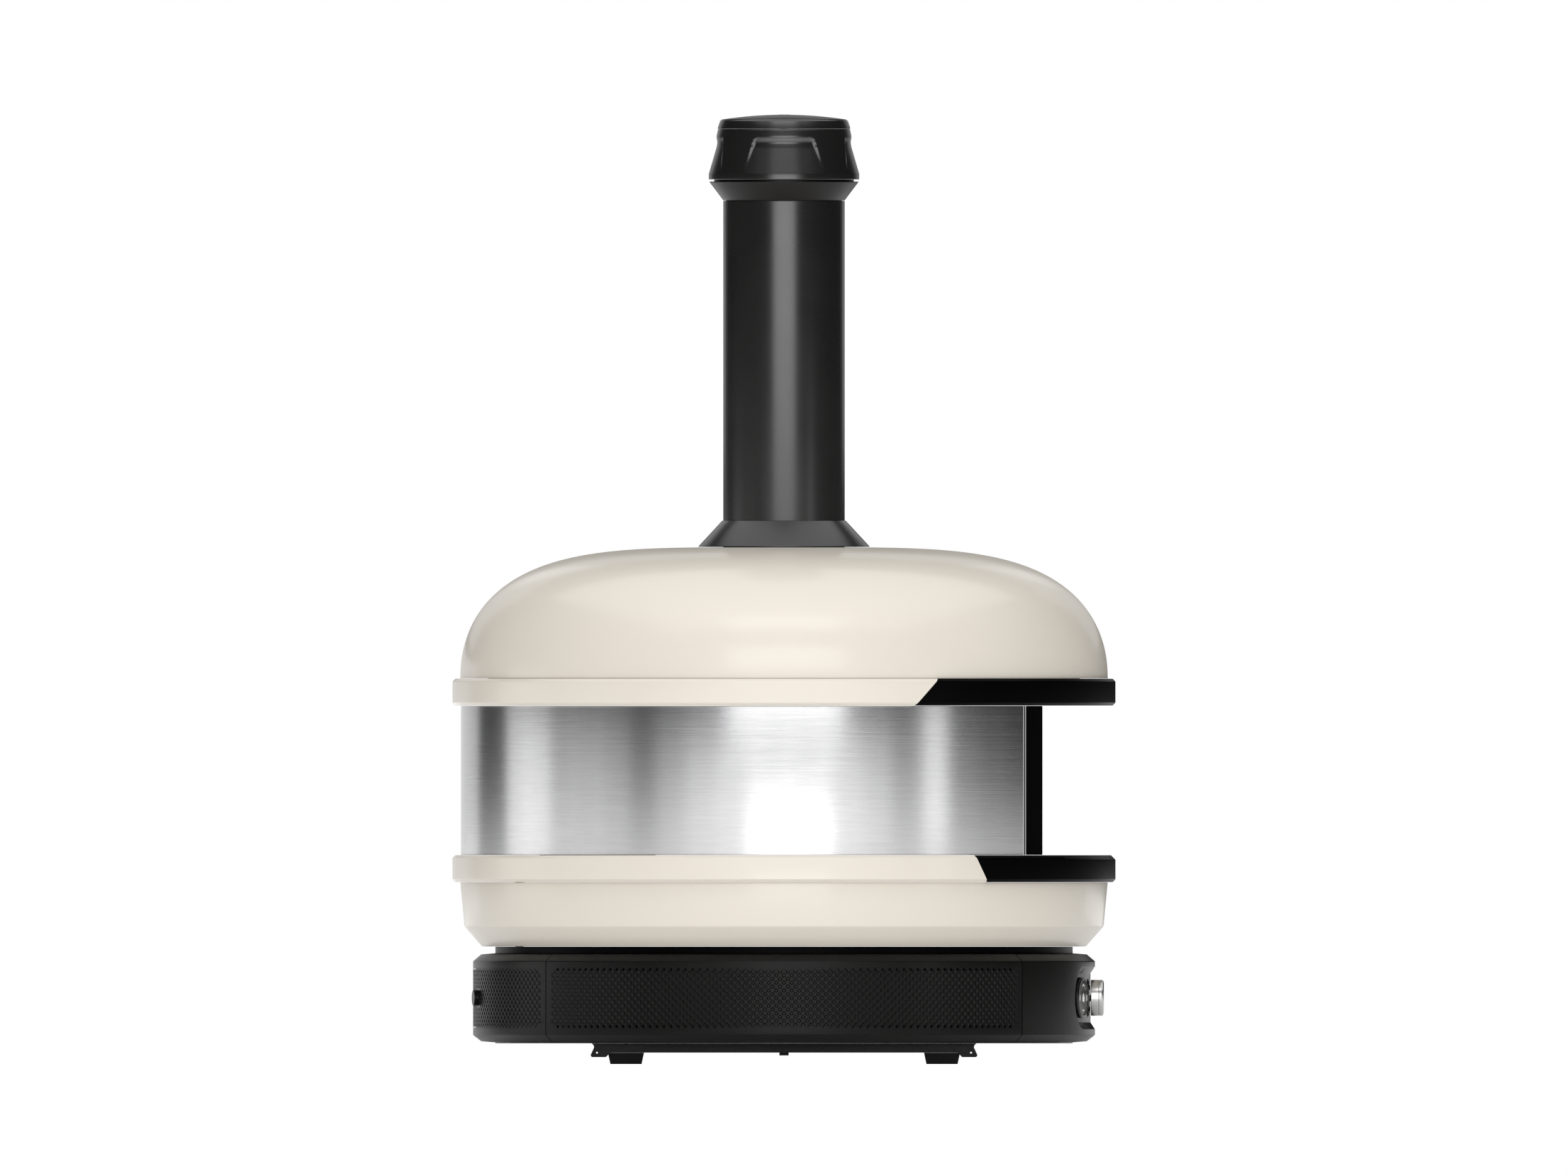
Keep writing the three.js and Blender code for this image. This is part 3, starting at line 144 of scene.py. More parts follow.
# %% The ring of low panels
# Angles are counted from the camera's side towards the mouth, as the band mirrors them: a panel at 90
# shows half way round, at 45. A glow of 1 is as bright as white paper.
RING_RADIUS = 1.9
RING_LOW, RING_HIGH = 0.02, 0.50
RING_PANEL = 12
RING = [
    # angle, glow
    (-172, 0.86), (-160, 0.77), (-148, 0.73), (-136, 0.03), (-124, 0.05), (-112, 1.20), (-100, 1.33), (-88, 0.62),
    (-76, 0.67), (-64, 0.57), (-52, 0.15), (-40, 0.60), (-28, 0.99), (-16, 1.03), (-4, 0.86), (8, 0.86), (20, 1.07),
    (32, 0.95), (44, 0.40), (68, 0.24), (80, 0.12), (91, 0.05),
]


def light_panel(name, place_at, aim_at, width, tall, brightness):
    data = bpy.data.lights.new(name, "AREA")
    data.shape = "RECTANGLE"
    data.size = width
    data.size_y = tall
    data.energy = brightness * math.pi * width * tall
    panel = bpy.data.objects.new(name, data)
    panel.location = place_at
    panel.rotation_euler = (Vector(aim_at) - Vector(place_at)).to_track_quat("-Z", "Y").to_euler()
    bpy.context.scene.collection.objects.link(panel)


def ring_panel(angle, brightness, low=RING_LOW, high=RING_HIGH, span=RING_PANEL):
    """A panel that the band mirrors at an angle: it stands a little nearer the front than that angle."""
    mirrored = math.radians(angle)
    turn = mirrored - math.asin(RIM / RING_RADIUS * math.sin(mirrored / 2))
    height = (low + high) / 2
    stand = (RING_RADIUS * math.sin(turn), -RING_RADIUS * math.cos(turn), height)
    width = RING_RADIUS * math.radians(span)
    light_panel(f"ring_{angle}", stand, (0, 0, height), width, high - low, brightness)


for angle, brightness in RING:
    ring_panel(angle, brightness)
ring_panel(56, 1.6, high=0.62, span=9)
ring_panel(2, 5.0, low=0.005, high=0.12, span=26)
ring_panel(155, 1.0, low=0.005, high=0.13, span=30)

# %% High panels
light_panel("tall_front", (0.03, -2.6, 1.14), (0, 0, 0.8), 1.9, 0.95, 3.0)
light_panel("high_front", (0, -1.9, 2.75), (0, 0, 0.6), 1.8, 0.9, 2.3)
light_panel("overhead", (0, 0, 3.2), (0, 0, 0), 5.0, 5.0, 1.05)
light_panel("back_left", (-0.9, 2.0, 1.1), (0, 0, 0.6), 0.9, 1.0, 0.6)
light_panel("back_right", (0.9, 2.0, 1.1), (0, 0, 0.6), 0.9, 1.0, 0.5)
light_panel("back_top", (0, 2.4, 1.40), (0, 0, 0.93), 1.7, 0.5, 0.5)
print(f"studio: {len(RING) + 9} light panels")

# %% [markdown]
# ## Shader sums
# A finish is a small sum: a grain, a mask, a little dirt. Writing it as Python sums keeps it readable, so
# one class wraps a socket and turns `+`, `-`, `*` and `/` into Math nodes. Every other node comes from its
# `node` method, which sets the node's own settings first and then fills or links its sockets.

# %% The socket class
class Wire:
    """An output socket that can stand in a sum. Wire.tree is the node tree being drawn."""

    tree = None

    def __init__(self, socket):
        self.socket = socket

    @classmethod
    def node(cls, kind, settings=None, inputs=None, output=0):
        made = cls.tree.nodes.new("ShaderNode" + kind)
        for name, value in (settings or {}).items():
            if name == "stops":
                ramp = made.color_ramp.elements
                while len(ramp) < len(value):
                    ramp.new(0.5)
                for stop, (place, shade) in zip(ramp, value):
                    stop.position = place
                    stop.color = (shade, shade, shade, 1)
            else:
                setattr(made, name, value)
        for name, value in (inputs or {}).items():
            if isinstance(value, Wire):
                cls.tree.links.new(value.socket, made.inputs[name])
            else:
                made.inputs[name].default_value = value
        return cls(made.outputs[output])

    @classmethod
    def maths(cls, operation, first, second=0.0):
        return cls.node("Math", {"operation": operation}, {0: first, 1: second})

    def __add__(self, other):
        return Wire.maths("ADD", self, other)

    def __sub__(self, other):
        return Wire.maths("SUBTRACT", self, other)

    def __rsub__(self, other):
        return Wire.maths("SUBTRACT", other, self)

    def __mul__(self, other):
        return Wire.maths("MULTIPLY", self, other)

    def __truediv__(self, other):
        return Wire.maths("DIVIDE", self, other)

    def __rtruediv__(self, other):
        return Wire.maths("DIVIDE", other, self)

    __radd__ = __add__
    __rmul__ = __mul__


# %% Grain, colour and bump helpers
def place():
    return Wire.node("TexCoord", output="Object")


def scaled(vector, x, y, z):
    return Wire.node("VectorMath", {"operation": "MULTIPLY"}, {0: vector, 1: (x, y, z)})


def grain(vector, scale, detail=2.0, rough=0.5):
    return Wire.node("TexNoise", None, {"Vector": vector, "Scale": scale, "Detail": detail, "Roughness": rough})


def ramp(value, *stops):
    return Wire.node("ValToRGB", {"stops": stops}, {"Fac": value})


def blend(mask, first, second):
    inputs = {0: mask, 6: first, 7: second}
    return Wire.node("Mix", {"data_type": "RGBA"}, inputs, output=2)


def bump(height, depth, strength=1.0):
    return Wire.node("Bump", None, {"Height": height, "Distance": depth, "Strength": strength})


def colour(red, green, blue, share=1.0):
    return (red * share, green * share, blue * share, 1)


def finish(name, draw):
    """Makes a material whose Principled shader takes what draw() returns."""
    material = bpy.data.materials.new(name)
    material.use_nodes = True
    tree = material.node_tree
    tree.nodes.clear()
    Wire.tree = tree
    shader = tree.nodes.new("ShaderNodeBsdfPrincipled")
    output = tree.nodes.new("ShaderNodeOutputMaterial")
    tree.links.new(shader.outputs[0], output.inputs[0])
    for socket, value in draw().items():
        if isinstance(value, Wire):
            tree.links.new(value.socket, shader.inputs[socket])
        else:
            shader.inputs[socket].default_value = value
    return material


# %% [markdown]
# ## The painted finishes
# Enamel is fired on in a thin even coat: it is nearly smooth, with a faint orange peel about a
# millimetre across and a satin shine that is a little uneven. The black coats differ in their shine. The
# base has a matt powder coat with a fine grain, the shelf and the visor are a deep satin black, and the
# flue has a smoother heat-proof paint that carries a long soft highlight.

# %% Painted metal
def enamel():
    spot = place()
    peel = grain(spot, 700, 2)
    cloud = grain(spot, 5, 3)
    tone = blend(cloud, colour(0.597, 0.553, 0.483), colour(0.623, 0.578, 0.506))
    return {
        "Base Color": tone,
        "Roughness": 0.36 + cloud * 0.10,
        "Normal": bump(peel, 0.00012, 0.35),
        "Coat Weight": 0.45,
        "Coat Roughness": 0.16,
        "Specular IOR Level": 0.5,
    }


def black_coat(tone, shine, grain_size, depth, specular=0.5):
    def draw():
        spot = place()
        speck = grain(spot, 1 / grain_size, 2)
        worn = grain(spot, 9, 3)
        return {
            "Base Color": blend(worn, colour(*tone, 0.8), colour(*tone, 1.25)),
            "Roughness": shine - 0.05 + worn * 0.10,
            "Normal": bump(speck, depth, 0.5),
            "Specular IOR Level": specular,
        }
    return draw


cream_enamel = finish("cream_enamel", enamel)
satin_black = finish("satin_black", black_coat((0.0007, 0.0007, 0.0007), 0.34, 0.0011, 0.00006, 0.03))
powder_black = finish("powder_black", black_coat((0.0024, 0.0023, 0.0021), 0.30, 0.0007, 0.00010, 0.16))
flue_black = finish("flue_black", black_coat((0.006, 0.006, 0.0058), 0.28, 0.0012, 0.00004, 1.0))
collar_black = finish("collar_black", black_coat((0.004, 0.004, 0.004), 0.40, 0.0012, 0.00004, 0.28))
print("painted finishes: enamel and four black coats")

# %% [markdown]
# ## The metals
# The band was brushed along its length, so its scratches run round the oven and its reflections are
# drawn out up and down. Anisotropy does the drawing out, and a noise that is squeezed in height and long
# round the oven makes the scratches. Plain mill steel inside is darker, and heat has tinted it.

# %% Bare metals
def brushed_band():
    spot = place()
    scratch = grain(scaled(spot, 7, 7, 1500), 1, 3, 0.65)
    streak = grain(scaled(spot, 24, 24, 450), 1, 2)
    lines = scratch * 0.55 + streak * 0.45
    return {
        "Base Color": blend(lines, colour(0.44, 0.44, 0.445), colour(0.62, 0.62, 0.625)),
        "Metallic": 1.0,
        "Roughness": 0.17 + scratch * 0.12,
        "Normal": bump(scratch, 0.00006, 0.45),
        "Anisotropic": 0.35,
        "Anisotropic Rotation": 0.25,
    }


def mill_steel():
    spot = place()
    cloud = grain(spot, 12, 4)
    rolled = grain(scaled(spot, 40, 40, 500), 1, 3)
    return {
        "Base Color": blend(cloud, colour(0.13, 0.125, 0.12), colour(0.24, 0.235, 0.235)),
        "Metallic": 1.0,
        "Roughness": 0.38 + rolled * 0.22,
        "Normal": bump(rolled, 0.00008, 0.3),
    }


def drawn_brass():
    spot = place()
    tarnish = grain(spot, 60, 4)
    return {
        "Base Color": blend(tarnish, colour(0.52, 0.34, 0.13), colour(0.78, 0.57, 0.27)),
        "Metallic": 1.0,
        "Roughness": 0.25 + tarnish * 0.2,
        "Normal": bump(tarnish, 0.00005, 0.3),
    }


steel_finish = finish("brushed_band", brushed_band)
mill_finish = finish("mill_steel", mill_steel)
brass_finish = finish("drawn_brass", drawn_brass)
print("bare metals: band, mill steel and brass")

# %% [markdown]
# ## The other materials
# The cooking stone is cordierite: pale, dry and sandy, with darker specks and a few scorched patches.
# The blanket is felted ceramic fibre. Rubber, plastic and ceramic each need only a fine grain.

# %% Stone, fibre, rubber and plastics
def cordierite():
    spot = place()
    sand = grain(spot, 900, 3, 0.7)
    speck = ramp(grain(spot, 420, 2), (0.58, 0), (0.68, 1))
    scorch = ramp(grain(spot, 9, 4), (0.5, 0), (0.75, 1))
    body = blend(sand, colour(0.50, 0.41, 0.30), colour(0.68, 0.58, 0.44))
    specked = blend(speck * 0.55, body, colour(0.22, 0.17, 0.12))
    return {
        "Base Color": blend(scorch * 0.45, specked, colour(0.20, 0.14, 0.09)),
        "Roughness": 0.85 + sand * 0.12,
        "Normal": bump(sand, 0.0004, 0.5),
    }


def fine_grained(tone, shine, size, depth, spread=0.15):
    def draw():
        spot = place()
        speck = grain(spot, 1 / size, 3)
        return {
            "Base Color": blend(speck, colour(*tone, 1 - spread), colour(*tone, 1 + spread)),
            "Roughness": shine - 0.06 + speck * 0.12,
            "Normal": bump(speck, depth, 0.5),
        }
    return draw


stone_finish = finish("cordierite", cordierite)
fibre_finish = finish("fibre_blanket", fine_grained((0.78, 0.75, 0.68), 0.93, 0.004, 0.001))
rubber_finish = finish("foot_rubber", fine_grained((0.008, 0.008, 0.008), 0.75, 0.0012, 0.0001))
ceramic_finish = finish("ceramic", fine_grained((0.80, 0.79, 0.74), 0.5, 0.001, 0.00004))
grey_finish = finish("grey_plastic", fine_grained((0.05, 0.05, 0.055), 0.55, 0.0009, 0.00006))
gloss_black = finish("dial_black", fine_grained((0.005, 0.005, 0.005), 0.28, 0.002, 0.00001))
mark_white = finish("mark_white", fine_grained((0.80, 0.80, 0.78), 0.45, 0.002, 0.00001))
print("other finishes: stone, fibre, rubber, ceramic and plastics")

# %% [markdown]
# ## Turning a piece
# Nearly every piece of this oven is turned or spun, so one function does most of the modelling: it
# carries a closed outline round the axis. The outline's corners can be given a radius, because folded and
# spun sheet has no knife edges, and those small rounds are what catch the light. A piece that stops part
# of the way round says at which angle it starts and ends, and that may change with radius and height.

# %% Outlines with rounded corners
ROUND_STEPS = 4


def rounded(points):
    """Corners given as (r, z) stay sharp, and (r, z, radius) become rounds. Returns plain (r, z) points."""
    corners = [(Vector(point[:2]), point[2] if len(point) > 2 else 0) for point in points]
    smooth = []
    for index, (corner, radius) in enumerate(corners):
        if radius == 0:
            smooth.append(tuple(corner))
            continue
        before = corners[index - 1][0] - corner
        after = corners[(index + 1) % len(corners)][0] - corner
        reach = radius / math.tan(before.angle(after) / 2)
        enter = corner + before.normalized() * min(reach, 0.45 * before.length)
        leave = corner + after.normalized() * min(reach, 0.45 * after.length)
        for step in range(ROUND_STEPS + 1):
            share = step / ROUND_STEPS
            spot = enter * (1 - share) ** 2 + corner * 2 * share * (1 - share) + leave * share ** 2
            smooth.append(tuple(spot))
    return smooth


# %% Meshes from faces, and turned pieces
SHARP_ANGLE = math.radians(32)


def mesh_object(name, points, faces, material, flat_angle=SHARP_ANGLE):
    mesh = bpy.data.meshes.new(name)
    mesh.from_pydata(points, [], faces)
    work = bmesh.new()
    work.from_mesh(mesh)
    bmesh.ops.remove_doubles(work, verts=work.verts, dist=1e-7)
    bmesh.ops.recalc_face_normals(work, faces=work.faces)
    work.to_mesh(mesh)
    work.free()
    mesh.shade_smooth()
    mesh.set_sharp_from_angle(angle=flat_angle)
    mesh.materials.append(material)
    made = bpy.data.objects.new(name, mesh)
    bpy.context.scene.collection.objects.link(made)
    return made


def turned(name, outline, material, steps=192, start=None, stop=None, press=None):
    """Carries the outline round Z. start and stop give the angles for a radius and a height; press moves a
    point in or out, from its radius, height and angle."""
    full = start is None
    count = steps if full else steps + 1
    points = []
    for r, z in outline:
        first, last = (0, 2 * math.pi) if full else (start(r, z), stop(r, z))
        for step in range(count):
            angle = first + (last - first) * step / steps
            reach = press(r, z, angle) if press else r
            points.append((reach * math.cos(angle), reach * math.sin(angle), z))
    rows = len(outline)
    faces = []
    for row in range(rows):
        other = (row + 1) % rows
        for step in range(steps):
            ahead = (step + 1) % count
            faces.append((row * count + step, row * count + ahead, other * count + ahead, other * count + step))
    if not full:
        faces.append([row * count for row in range(rows)])
        faces.append([row * count + steps for row in reversed(range(rows))])
    return mesh_object(name, points, faces, material)


def stands_for(piece, slot, *replaced, body="oven"):
    """The piece rides on its body and hides the plain nodes. The slot is not used."""
    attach(piece, body)
    if replaced:
        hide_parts(*replaced)
    print(f"{piece.name}: {len(piece.data.polygons)} faces")
    return piece


def joined(first, *others):
    """Joins other pieces' meshes into the first one."""
    work = bmesh.new()
    for part in (first, *others):
        work.from_mesh(part.data)
    work.to_mesh(first.data)
    work.free()
    for part in others:
        bpy.data.objects.remove(part)
    first.data.shade_smooth()
    first.data.set_sharp_from_angle(angle=SHARP_ANGLE)
    return first


# %% [markdown]
# ## The dome
# The dome is spun from one disc. Its side rises almost upright, turns over a full shoulder and runs in
# nearly flat to the flue. A superellipse gives that with two exponents: a high one squares the shoulder,
# and one near two keeps the crown softly round. A sheet's thickness inside makes it a real shell.

# %% Dome
SHOULDER = 4.3
CROWN = 2.15
SHEET = 2 * MM
DOME_STEPS = 48
dome_foot = low_of("dome_shell")
dome_rise = high_of("dome_shell") - dome_foot
flue_hole = FLUE + 0.6 * MM
full_rise = dome_rise / (1 - (flue_hole / DOME) ** SHOULDER) ** (1 / CROWN)


def dome_curve(inset):
    reach = DOME - inset
    rise = full_rise - inset
    end = math.acos((flue_hole / reach) ** (SHOULDER / 2))
    curve = []
    for step in range(DOME_STEPS + 1):
        turn = end * step / DOME_STEPS
        r = reach * math.cos(turn) ** (2 / SHOULDER)
        curve.append((r, dome_foot + rise * math.sin(turn) ** (2 / CROWN)))
    return curve


dome = turned("dome", dome_curve(0) + dome_curve(SHEET)[::-1], cream_enamel, 256)
stands_for(dome, "cream_enamel", "dome_shell")

# %% [markdown]
# ## The rims, the visor and the landing
# The two rims are pressed channels with a small chamfer on each outer edge. At the front a black piece is
# let into each: the visor above the mouth and the landing shelf below it. The joints are cut at a
# slant, so an end's angle round the oven changes with height.

# %% The channel section and its slanted ends
CHAMFER = 2.8 * MM
CHANNEL_DEPTH = 31.3 * MM
CHANNEL_SKIN = 2.5 * MM
FOLD = 1.4 * MM
JOINT_GAP = 0.6 * MM
rim_height = high_of("upper_rim") - low_of("upper_rim")


def channel(low, top_chamfer=CHAMFER):
    inner = RIM - CHANNEL_DEPTH
    back = RIM - CHANNEL_SKIN - 1 * MM
    high = low + rim_height
    return rounded([
        (inner, low),
        (RIM - CHAMFER, low, FOLD),
        (RIM, low + CHAMFER, FOLD),
        (RIM, high - top_chamfer, FOLD),
        (RIM - top_chamfer, high, FOLD),
        (inner, high),
        (inner, high - CHANNEL_SKIN),
        (back - (top_chamfer - CHAMFER), high - CHANNEL_SKIN),
        (back, low + CHANNEL_SKIN),
        (inner, low + CHANNEL_SKIN),
    ])


def slant(node, angle_low, angle_high):
    """The half-angle at a height, between its values at the node's lower and upper edges."""
    low = low_of(node)
    height = high_of(node) - low
    return lambda z: math.radians(angle_low + (angle_high - angle_low) * (z - low) / height)


def rim_pair(rim_node, black_node, angles, top_chamfer=CHAMFER):
    half = slant(rim_node, *angles)
    gap = JOINT_GAP / RIM
    outline = channel(low_of(rim_node))
    cream = turned(
        rim_node + "_turned", outline, cream_enamel, 200,
        start=lambda r, z: half(z), stop=lambda r, z: 2 * math.pi - half(z),
    )
    stands_for(cream, "cream_enamel", rim_node)
    return lambda name, first, last, chamfer=CHAMFER: turned(
        name, channel(low_of(rim_node), chamfer), satin_black, 96,
        start=lambda r, z: first if first is not None else gap - half(z),
        stop=lambda r, z: last if last is not None else half(z) - gap,
    )


# %% Visor and landing
SOFFIT = 3.5 * MM
plate_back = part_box("visor")[0].x


def front_plate(name, back, low, high):
    """A flat plate between a straight back edge and the channel's inner edge."""
    inner = RIM - CHANNEL_DEPTH
    half = math.acos(back / inner)
    count = 40
    edge = [(inner * math.cos(half * (2 * i / count - 1)), inner * math.sin(half * (2 * i / count - 1)))
            for i in range(count + 1)]
    points = [(x, y, z) for z in (low, high) for x, y in edge]
    total = len(edge)
    faces = [list(range(total)), list(range(total, 2 * total))]
    faces += [(i, (i + 1) % total, total + (i + 1) % total, total + i) for i in range(total)]
    return mesh_object(name, points, faces, satin_black)


soffit_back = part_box("mouth_liner")[0].x + SHEET + 0.3 * MM
visor_part = rim_pair("upper_rim", "visor", (66.6, 62.1))
visor = visor_part("visor_hood", None, None)
soffit = front_plate("soffit", soffit_back, low_of("visor"), low_of("visor") + SOFFIT)
stands_for(joined(visor, soffit), "satin_black", "visor")

LIP_CHAMFER = 4.4 * MM
LIP_START = 277.5 * MM
lip_angle = math.acos(LIP_START / RIM)
lip_gap = 0.12 * MM / RIM
landing_part = rim_pair("lower_rim", "landing_shelf", (52.0, 54.7))
landing = landing_part("landing", -lip_angle, lip_angle, LIP_CHAMFER)
left_end = landing_part("landing_left", lip_angle + lip_gap, None)
right_end = landing_part("landing_right", None, -lip_angle - lip_gap)
shelf = front_plate("shelf", soffit_back, high_of("landing_shelf") - SOFFIT, high_of("landing_shelf"))
stands_for(joined(landing, left_end, right_end, shelf), "satin_black", "landing_shelf")

# %% [markdown]
# ## The steel band and the pan
# The band is one strip of sheet wrapped round between the rims, and it stops square behind the front
# face. The pan below is spun with a draft on its side and a wide bevel at the foot.

# %% Band and pan
BAND_SKIN = 1.2 * MM
band_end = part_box("steel_band")[1].x
band_low = low_of("steel_band")
band_high = high_of("steel_band")
EDGE = 0.3 * MM
band_outline = rounded([
    (BAND - BAND_SKIN, band_low),
    (BAND, band_low, EDGE),
    (BAND, band_high, EDGE),
    (BAND - BAND_SKIN, band_high),
])
band = turned(
    "band", band_outline, steel_finish, 240,
    start=lambda r, z: math.acos(band_end / r), stop=lambda r, z: 2 * math.pi - math.acos(band_end / r),
)
stands_for(band, "brushed_band", "steel_band")

PAN_BEVEL_HEIGHT = 19.6 * MM
PAN_BEVEL_STEP = 17.4 * MM
PAN_DRAFT = 4.2 * MM
pan_low = low_of("lower_pan")
pan_high = high_of("lower_pan")
knee = DOME - PAN_DRAFT
pan_outline = rounded([
    (0, pan_low),
    (knee - PAN_BEVEL_STEP, pan_low, 2 * MM),
    (knee, pan_low + PAN_BEVEL_HEIGHT, 4 * MM),
    (DOME, pan_high, 0.6 * MM),
    (DOME - SHEET, pan_high),
    (knee - SHEET, pan_low + PAN_BEVEL_HEIGHT + 0.6 * MM),
    (knee - PAN_BEVEL_STEP - SHEET / 2, pan_low + SHEET),
    (0, pan_low + SHEET),
])
stands_for(turned("pan", pan_outline, cream_enamel, 256), "cream_enamel", "lower_pan")

# %% [markdown]
# ## The flue
# A skirt covers the joint with the dome, a plain tube rises from it, and a flared collar carries the cap.

# %% Flue skirt, tube and collar
skirt_low = low_of("flue_skirt")
skirt_high = high_of("flue_skirt")
skirt_reach = radius_of("flue_skirt")
skirt_top = FLUE + 1 * MM
SKIRT_SKIN = 3.4 * MM
skirt_outline = rounded([
    (skirt_reach, skirt_low, 0.5 * MM),
    (skirt_top, skirt_high, 0.6 * MM),
    (FLUE + 0.3 * MM, skirt_high),
    (FLUE + 0.3 * MM, skirt_high - SKIRT_SKIN),
    (skirt_reach - SKIRT_SKIN, skirt_low),
])
stands_for(turned("skirt", skirt_outline, flue_black, 160), "flue_black", "flue_skirt")

FLUE_WALL = 2 * MM
tube_low = low_of("flue_tube")
tube_high = high_of("flue_tube")
tube_outline = rounded([
    (FLUE - FLUE_WALL, tube_low),
    (FLUE, tube_low),
    (FLUE, tube_high, 0.7 * MM),
    (FLUE - FLUE_WALL, tube_high, 0.5 * MM),
])
stands_for(turned("flue", tube_outline, flue_black, 160), "flue_black", "flue_tube")

COLLAR_SKIN = 2.4 * MM
SPIGOT_STEP = 2.2 * MM
collar_low = tube_high + 0.3 * MM
COLLAR_LIP = 4.3 * MM
LIP_STEP = 2.6 * MM
LIP_SKIN = 1.6 * MM
collar_high = high_of("flue_collar")
collar_reach = radius_of("flue_collar")
spigot_low = low_of("flue_collar")
spigot = FLUE - FLUE_WALL - 0.6 * MM
spigot_bore = spigot - 1.8 * MM
funnel_low = collar_low - SPIGOT_STEP
funnel_rise = (collar_high - funnel_low) / (collar_reach - COLLAR_SKIN - spigot_bore)
lip_outer = collar_reach - COLLAR_SKIN - LIP_STEP
lip_inner = lip_outer - LIP_SKIN
collar_outline = rounded([
    (spigot_bore, spigot_low),
    (spigot, spigot_low),
    (spigot, collar_low),
    (FLUE, collar_low, 0.5 * MM),
    (collar_reach, collar_high, 0.7 * MM),
    (lip_outer, collar_high),
    (lip_outer, collar_high + COLLAR_LIP, 0.3 * MM),
    (lip_inner, collar_high + COLLAR_LIP, 0.3 * MM),
    (lip_inner, funnel_low + (lip_inner - spigot_bore) * funnel_rise),
    (spigot_bore, funnel_low),
])
stands_for(turned("collar", collar_outline, collar_black, 160), "flue_black", "flue_collar")

# %% [markdown]
# ## The turning cap
# The cap is a die-cast cone with an upright lip at its foot. Four finger recesses are pressed into it, so
# that a gloved hand can turn the damper. Each recess has a sloping ledge at the top, narrow sloping sides
# that spread downwards, and a floor that runs out into the cone. A function of height and angle gives the
# depth at each point, and the turning function moves the outer wall in by that much.

# %% Cap
cap_low = low_of("cap_cowl")
cap_high = high_of("cap_cowl")
cap_reach = radius_of("cap_cowl")
CAP_LIP = 5.5 * MM
CAP_TAPER = 9.2 * MM
CAP_SKIN = 2.5 * MM
CAP_FLANGE = 14 * MM
RECESS_DEPTH = 2.2 * MM
RECESS_SHOULDER = 6.5 * MM
LEDGE = 8.5 * MM
HALF_LOW = 34.5
HALF_HIGH = 26.5
RECESS_SIDE = 3.2
RECESS_CORNER = 7 * MM
recess_top = cap_high - RECESS_SHOULDER
cone_low = cap_low + CAP_LIP


def soft_step(value):
    value = min(max(value, 0), 1)
    return value * value * (3 - 2 * value)


def cone_at(z):
    return cap_reach - CAP_TAPER * (z - cone_low) / (cap_high - cone_low)


def recess(z, angle):
    """How deep the finger recess is at a height and an angle."""
    degrees = math.degrees(angle)
    offset = abs(degrees - 90 * round(degrees / 90))
    along = min(max((z - cone_low) / (recess_top - cone_low), 0), 1)
    half = HALF_LOW + (HALF_HIGH - HALF_LOW) * along
    from_side = math.radians(half - offset) * cone_at(z)
    from_top = recess_top - z
    if from_side < RECESS_CORNER and from_top < RECESS_CORNER:
        inside = RECESS_CORNER - math.hypot(RECESS_CORNER - from_side, RECESS_CORNER - from_top)
    else:
        inside = min(from_side, from_top)
    side = soft_step(from_side / (math.radians(RECESS_SIDE) * cone_at(z)))
    top = soft_step(from_top / LEDGE)
    rim = soft_step(inside / (0.6 * RECESS_SIDE * MM))
    fade = min((z - cone_low) / (26 * MM), 1)
    return RECESS_DEPTH * min(side, top) * rim * max(fade, 0)


def pressed(r, z, angle):
    outer = z >= cone_low and r > cone_at(z) - 0.4 * MM
    return r - recess(z, angle) if outer else r


CONE_ROWS = 44
cone_points = []
for row in range(CONE_ROWS + 1):
    z = cone_low + 0.5 * MM + (cap_high - 0.8 * MM - cone_low - 0.5 * MM) * row / CONE_ROWS
    cone_points.append((cone_at(z), z))
cap_outline = [
    (cap_reach - CAP_SKIN, cap_low),
    (cap_reach - 0.4 * MM, cap_low),
    (cap_reach, cap_low + 0.4 * MM),
    (cap_reach, cone_low),
    *cone_points,
    (cone_at(cap_high) - 0.5 * MM, cap_high),
    (cone_at(cap_high) - CAP_FLANGE, cap_high),
    (cone_at(cap_high) - CAP_FLANGE, cap_high - SHEET),
    (cone_at(cap_high) - CAP_SKIN - SHEET, cap_high - SHEET),
    (cap_reach - CAP_SKIN - SHEET, cone_low),
]
cap = turned("cap", cap_outline, flue_black, 360, press=pressed)
stands_for(cap, "flue_black", "cap_cowl", body="chimney_cap")

# %% Lid
LID_HEIGHT = 9.25 * MM
LID_TAPER = 2.6 * MM
LID_STEP = 4.5 * MM
RECESS_RADIUS = 6.5 * MM
lid_low = low_of("cap_lid")
lid_crown = high_of("cap_lid")
lid_reach = radius_of("cap_lid")
crown_reach = lid_reach - LID_STEP
lid_top = lid_low + LID_HEIGHT
screw_floor = low_of("cap_screw") - 0.3 * MM
crown_rise = (lid_crown - lid_top) / (1 - (RECESS_RADIUS / crown_reach) ** 2)
crown_curve = []
for step in range(13):
    r = crown_reach + (RECESS_RADIUS + 0.3 * MM - crown_reach) * step / 12
    crown_curve.append((r, lid_top + crown_rise * (1 - (r / crown_reach) ** 2)))
lid_outline = rounded([
    (0, lid_top - CAP_SKIN),
    (crown_reach - 0.5 * MM, lid_top - CAP_SKIN),
    (lid_reach - CAP_SKIN - 0.5 * MM, lid_low),
    (lid_reach, lid_low, 0.4 * MM),
    (lid_reach - LID_TAPER, lid_top - 1.4 * MM, 1.2 * MM),
    *crown_curve,
    (RECESS_RADIUS, screw_floor),
    (0, screw_floor),
])
lid = turned("lid", lid_outline, flue_black, 160)
stands_for(lid, "flue_black", "cap_lid", body="chimney_cap")

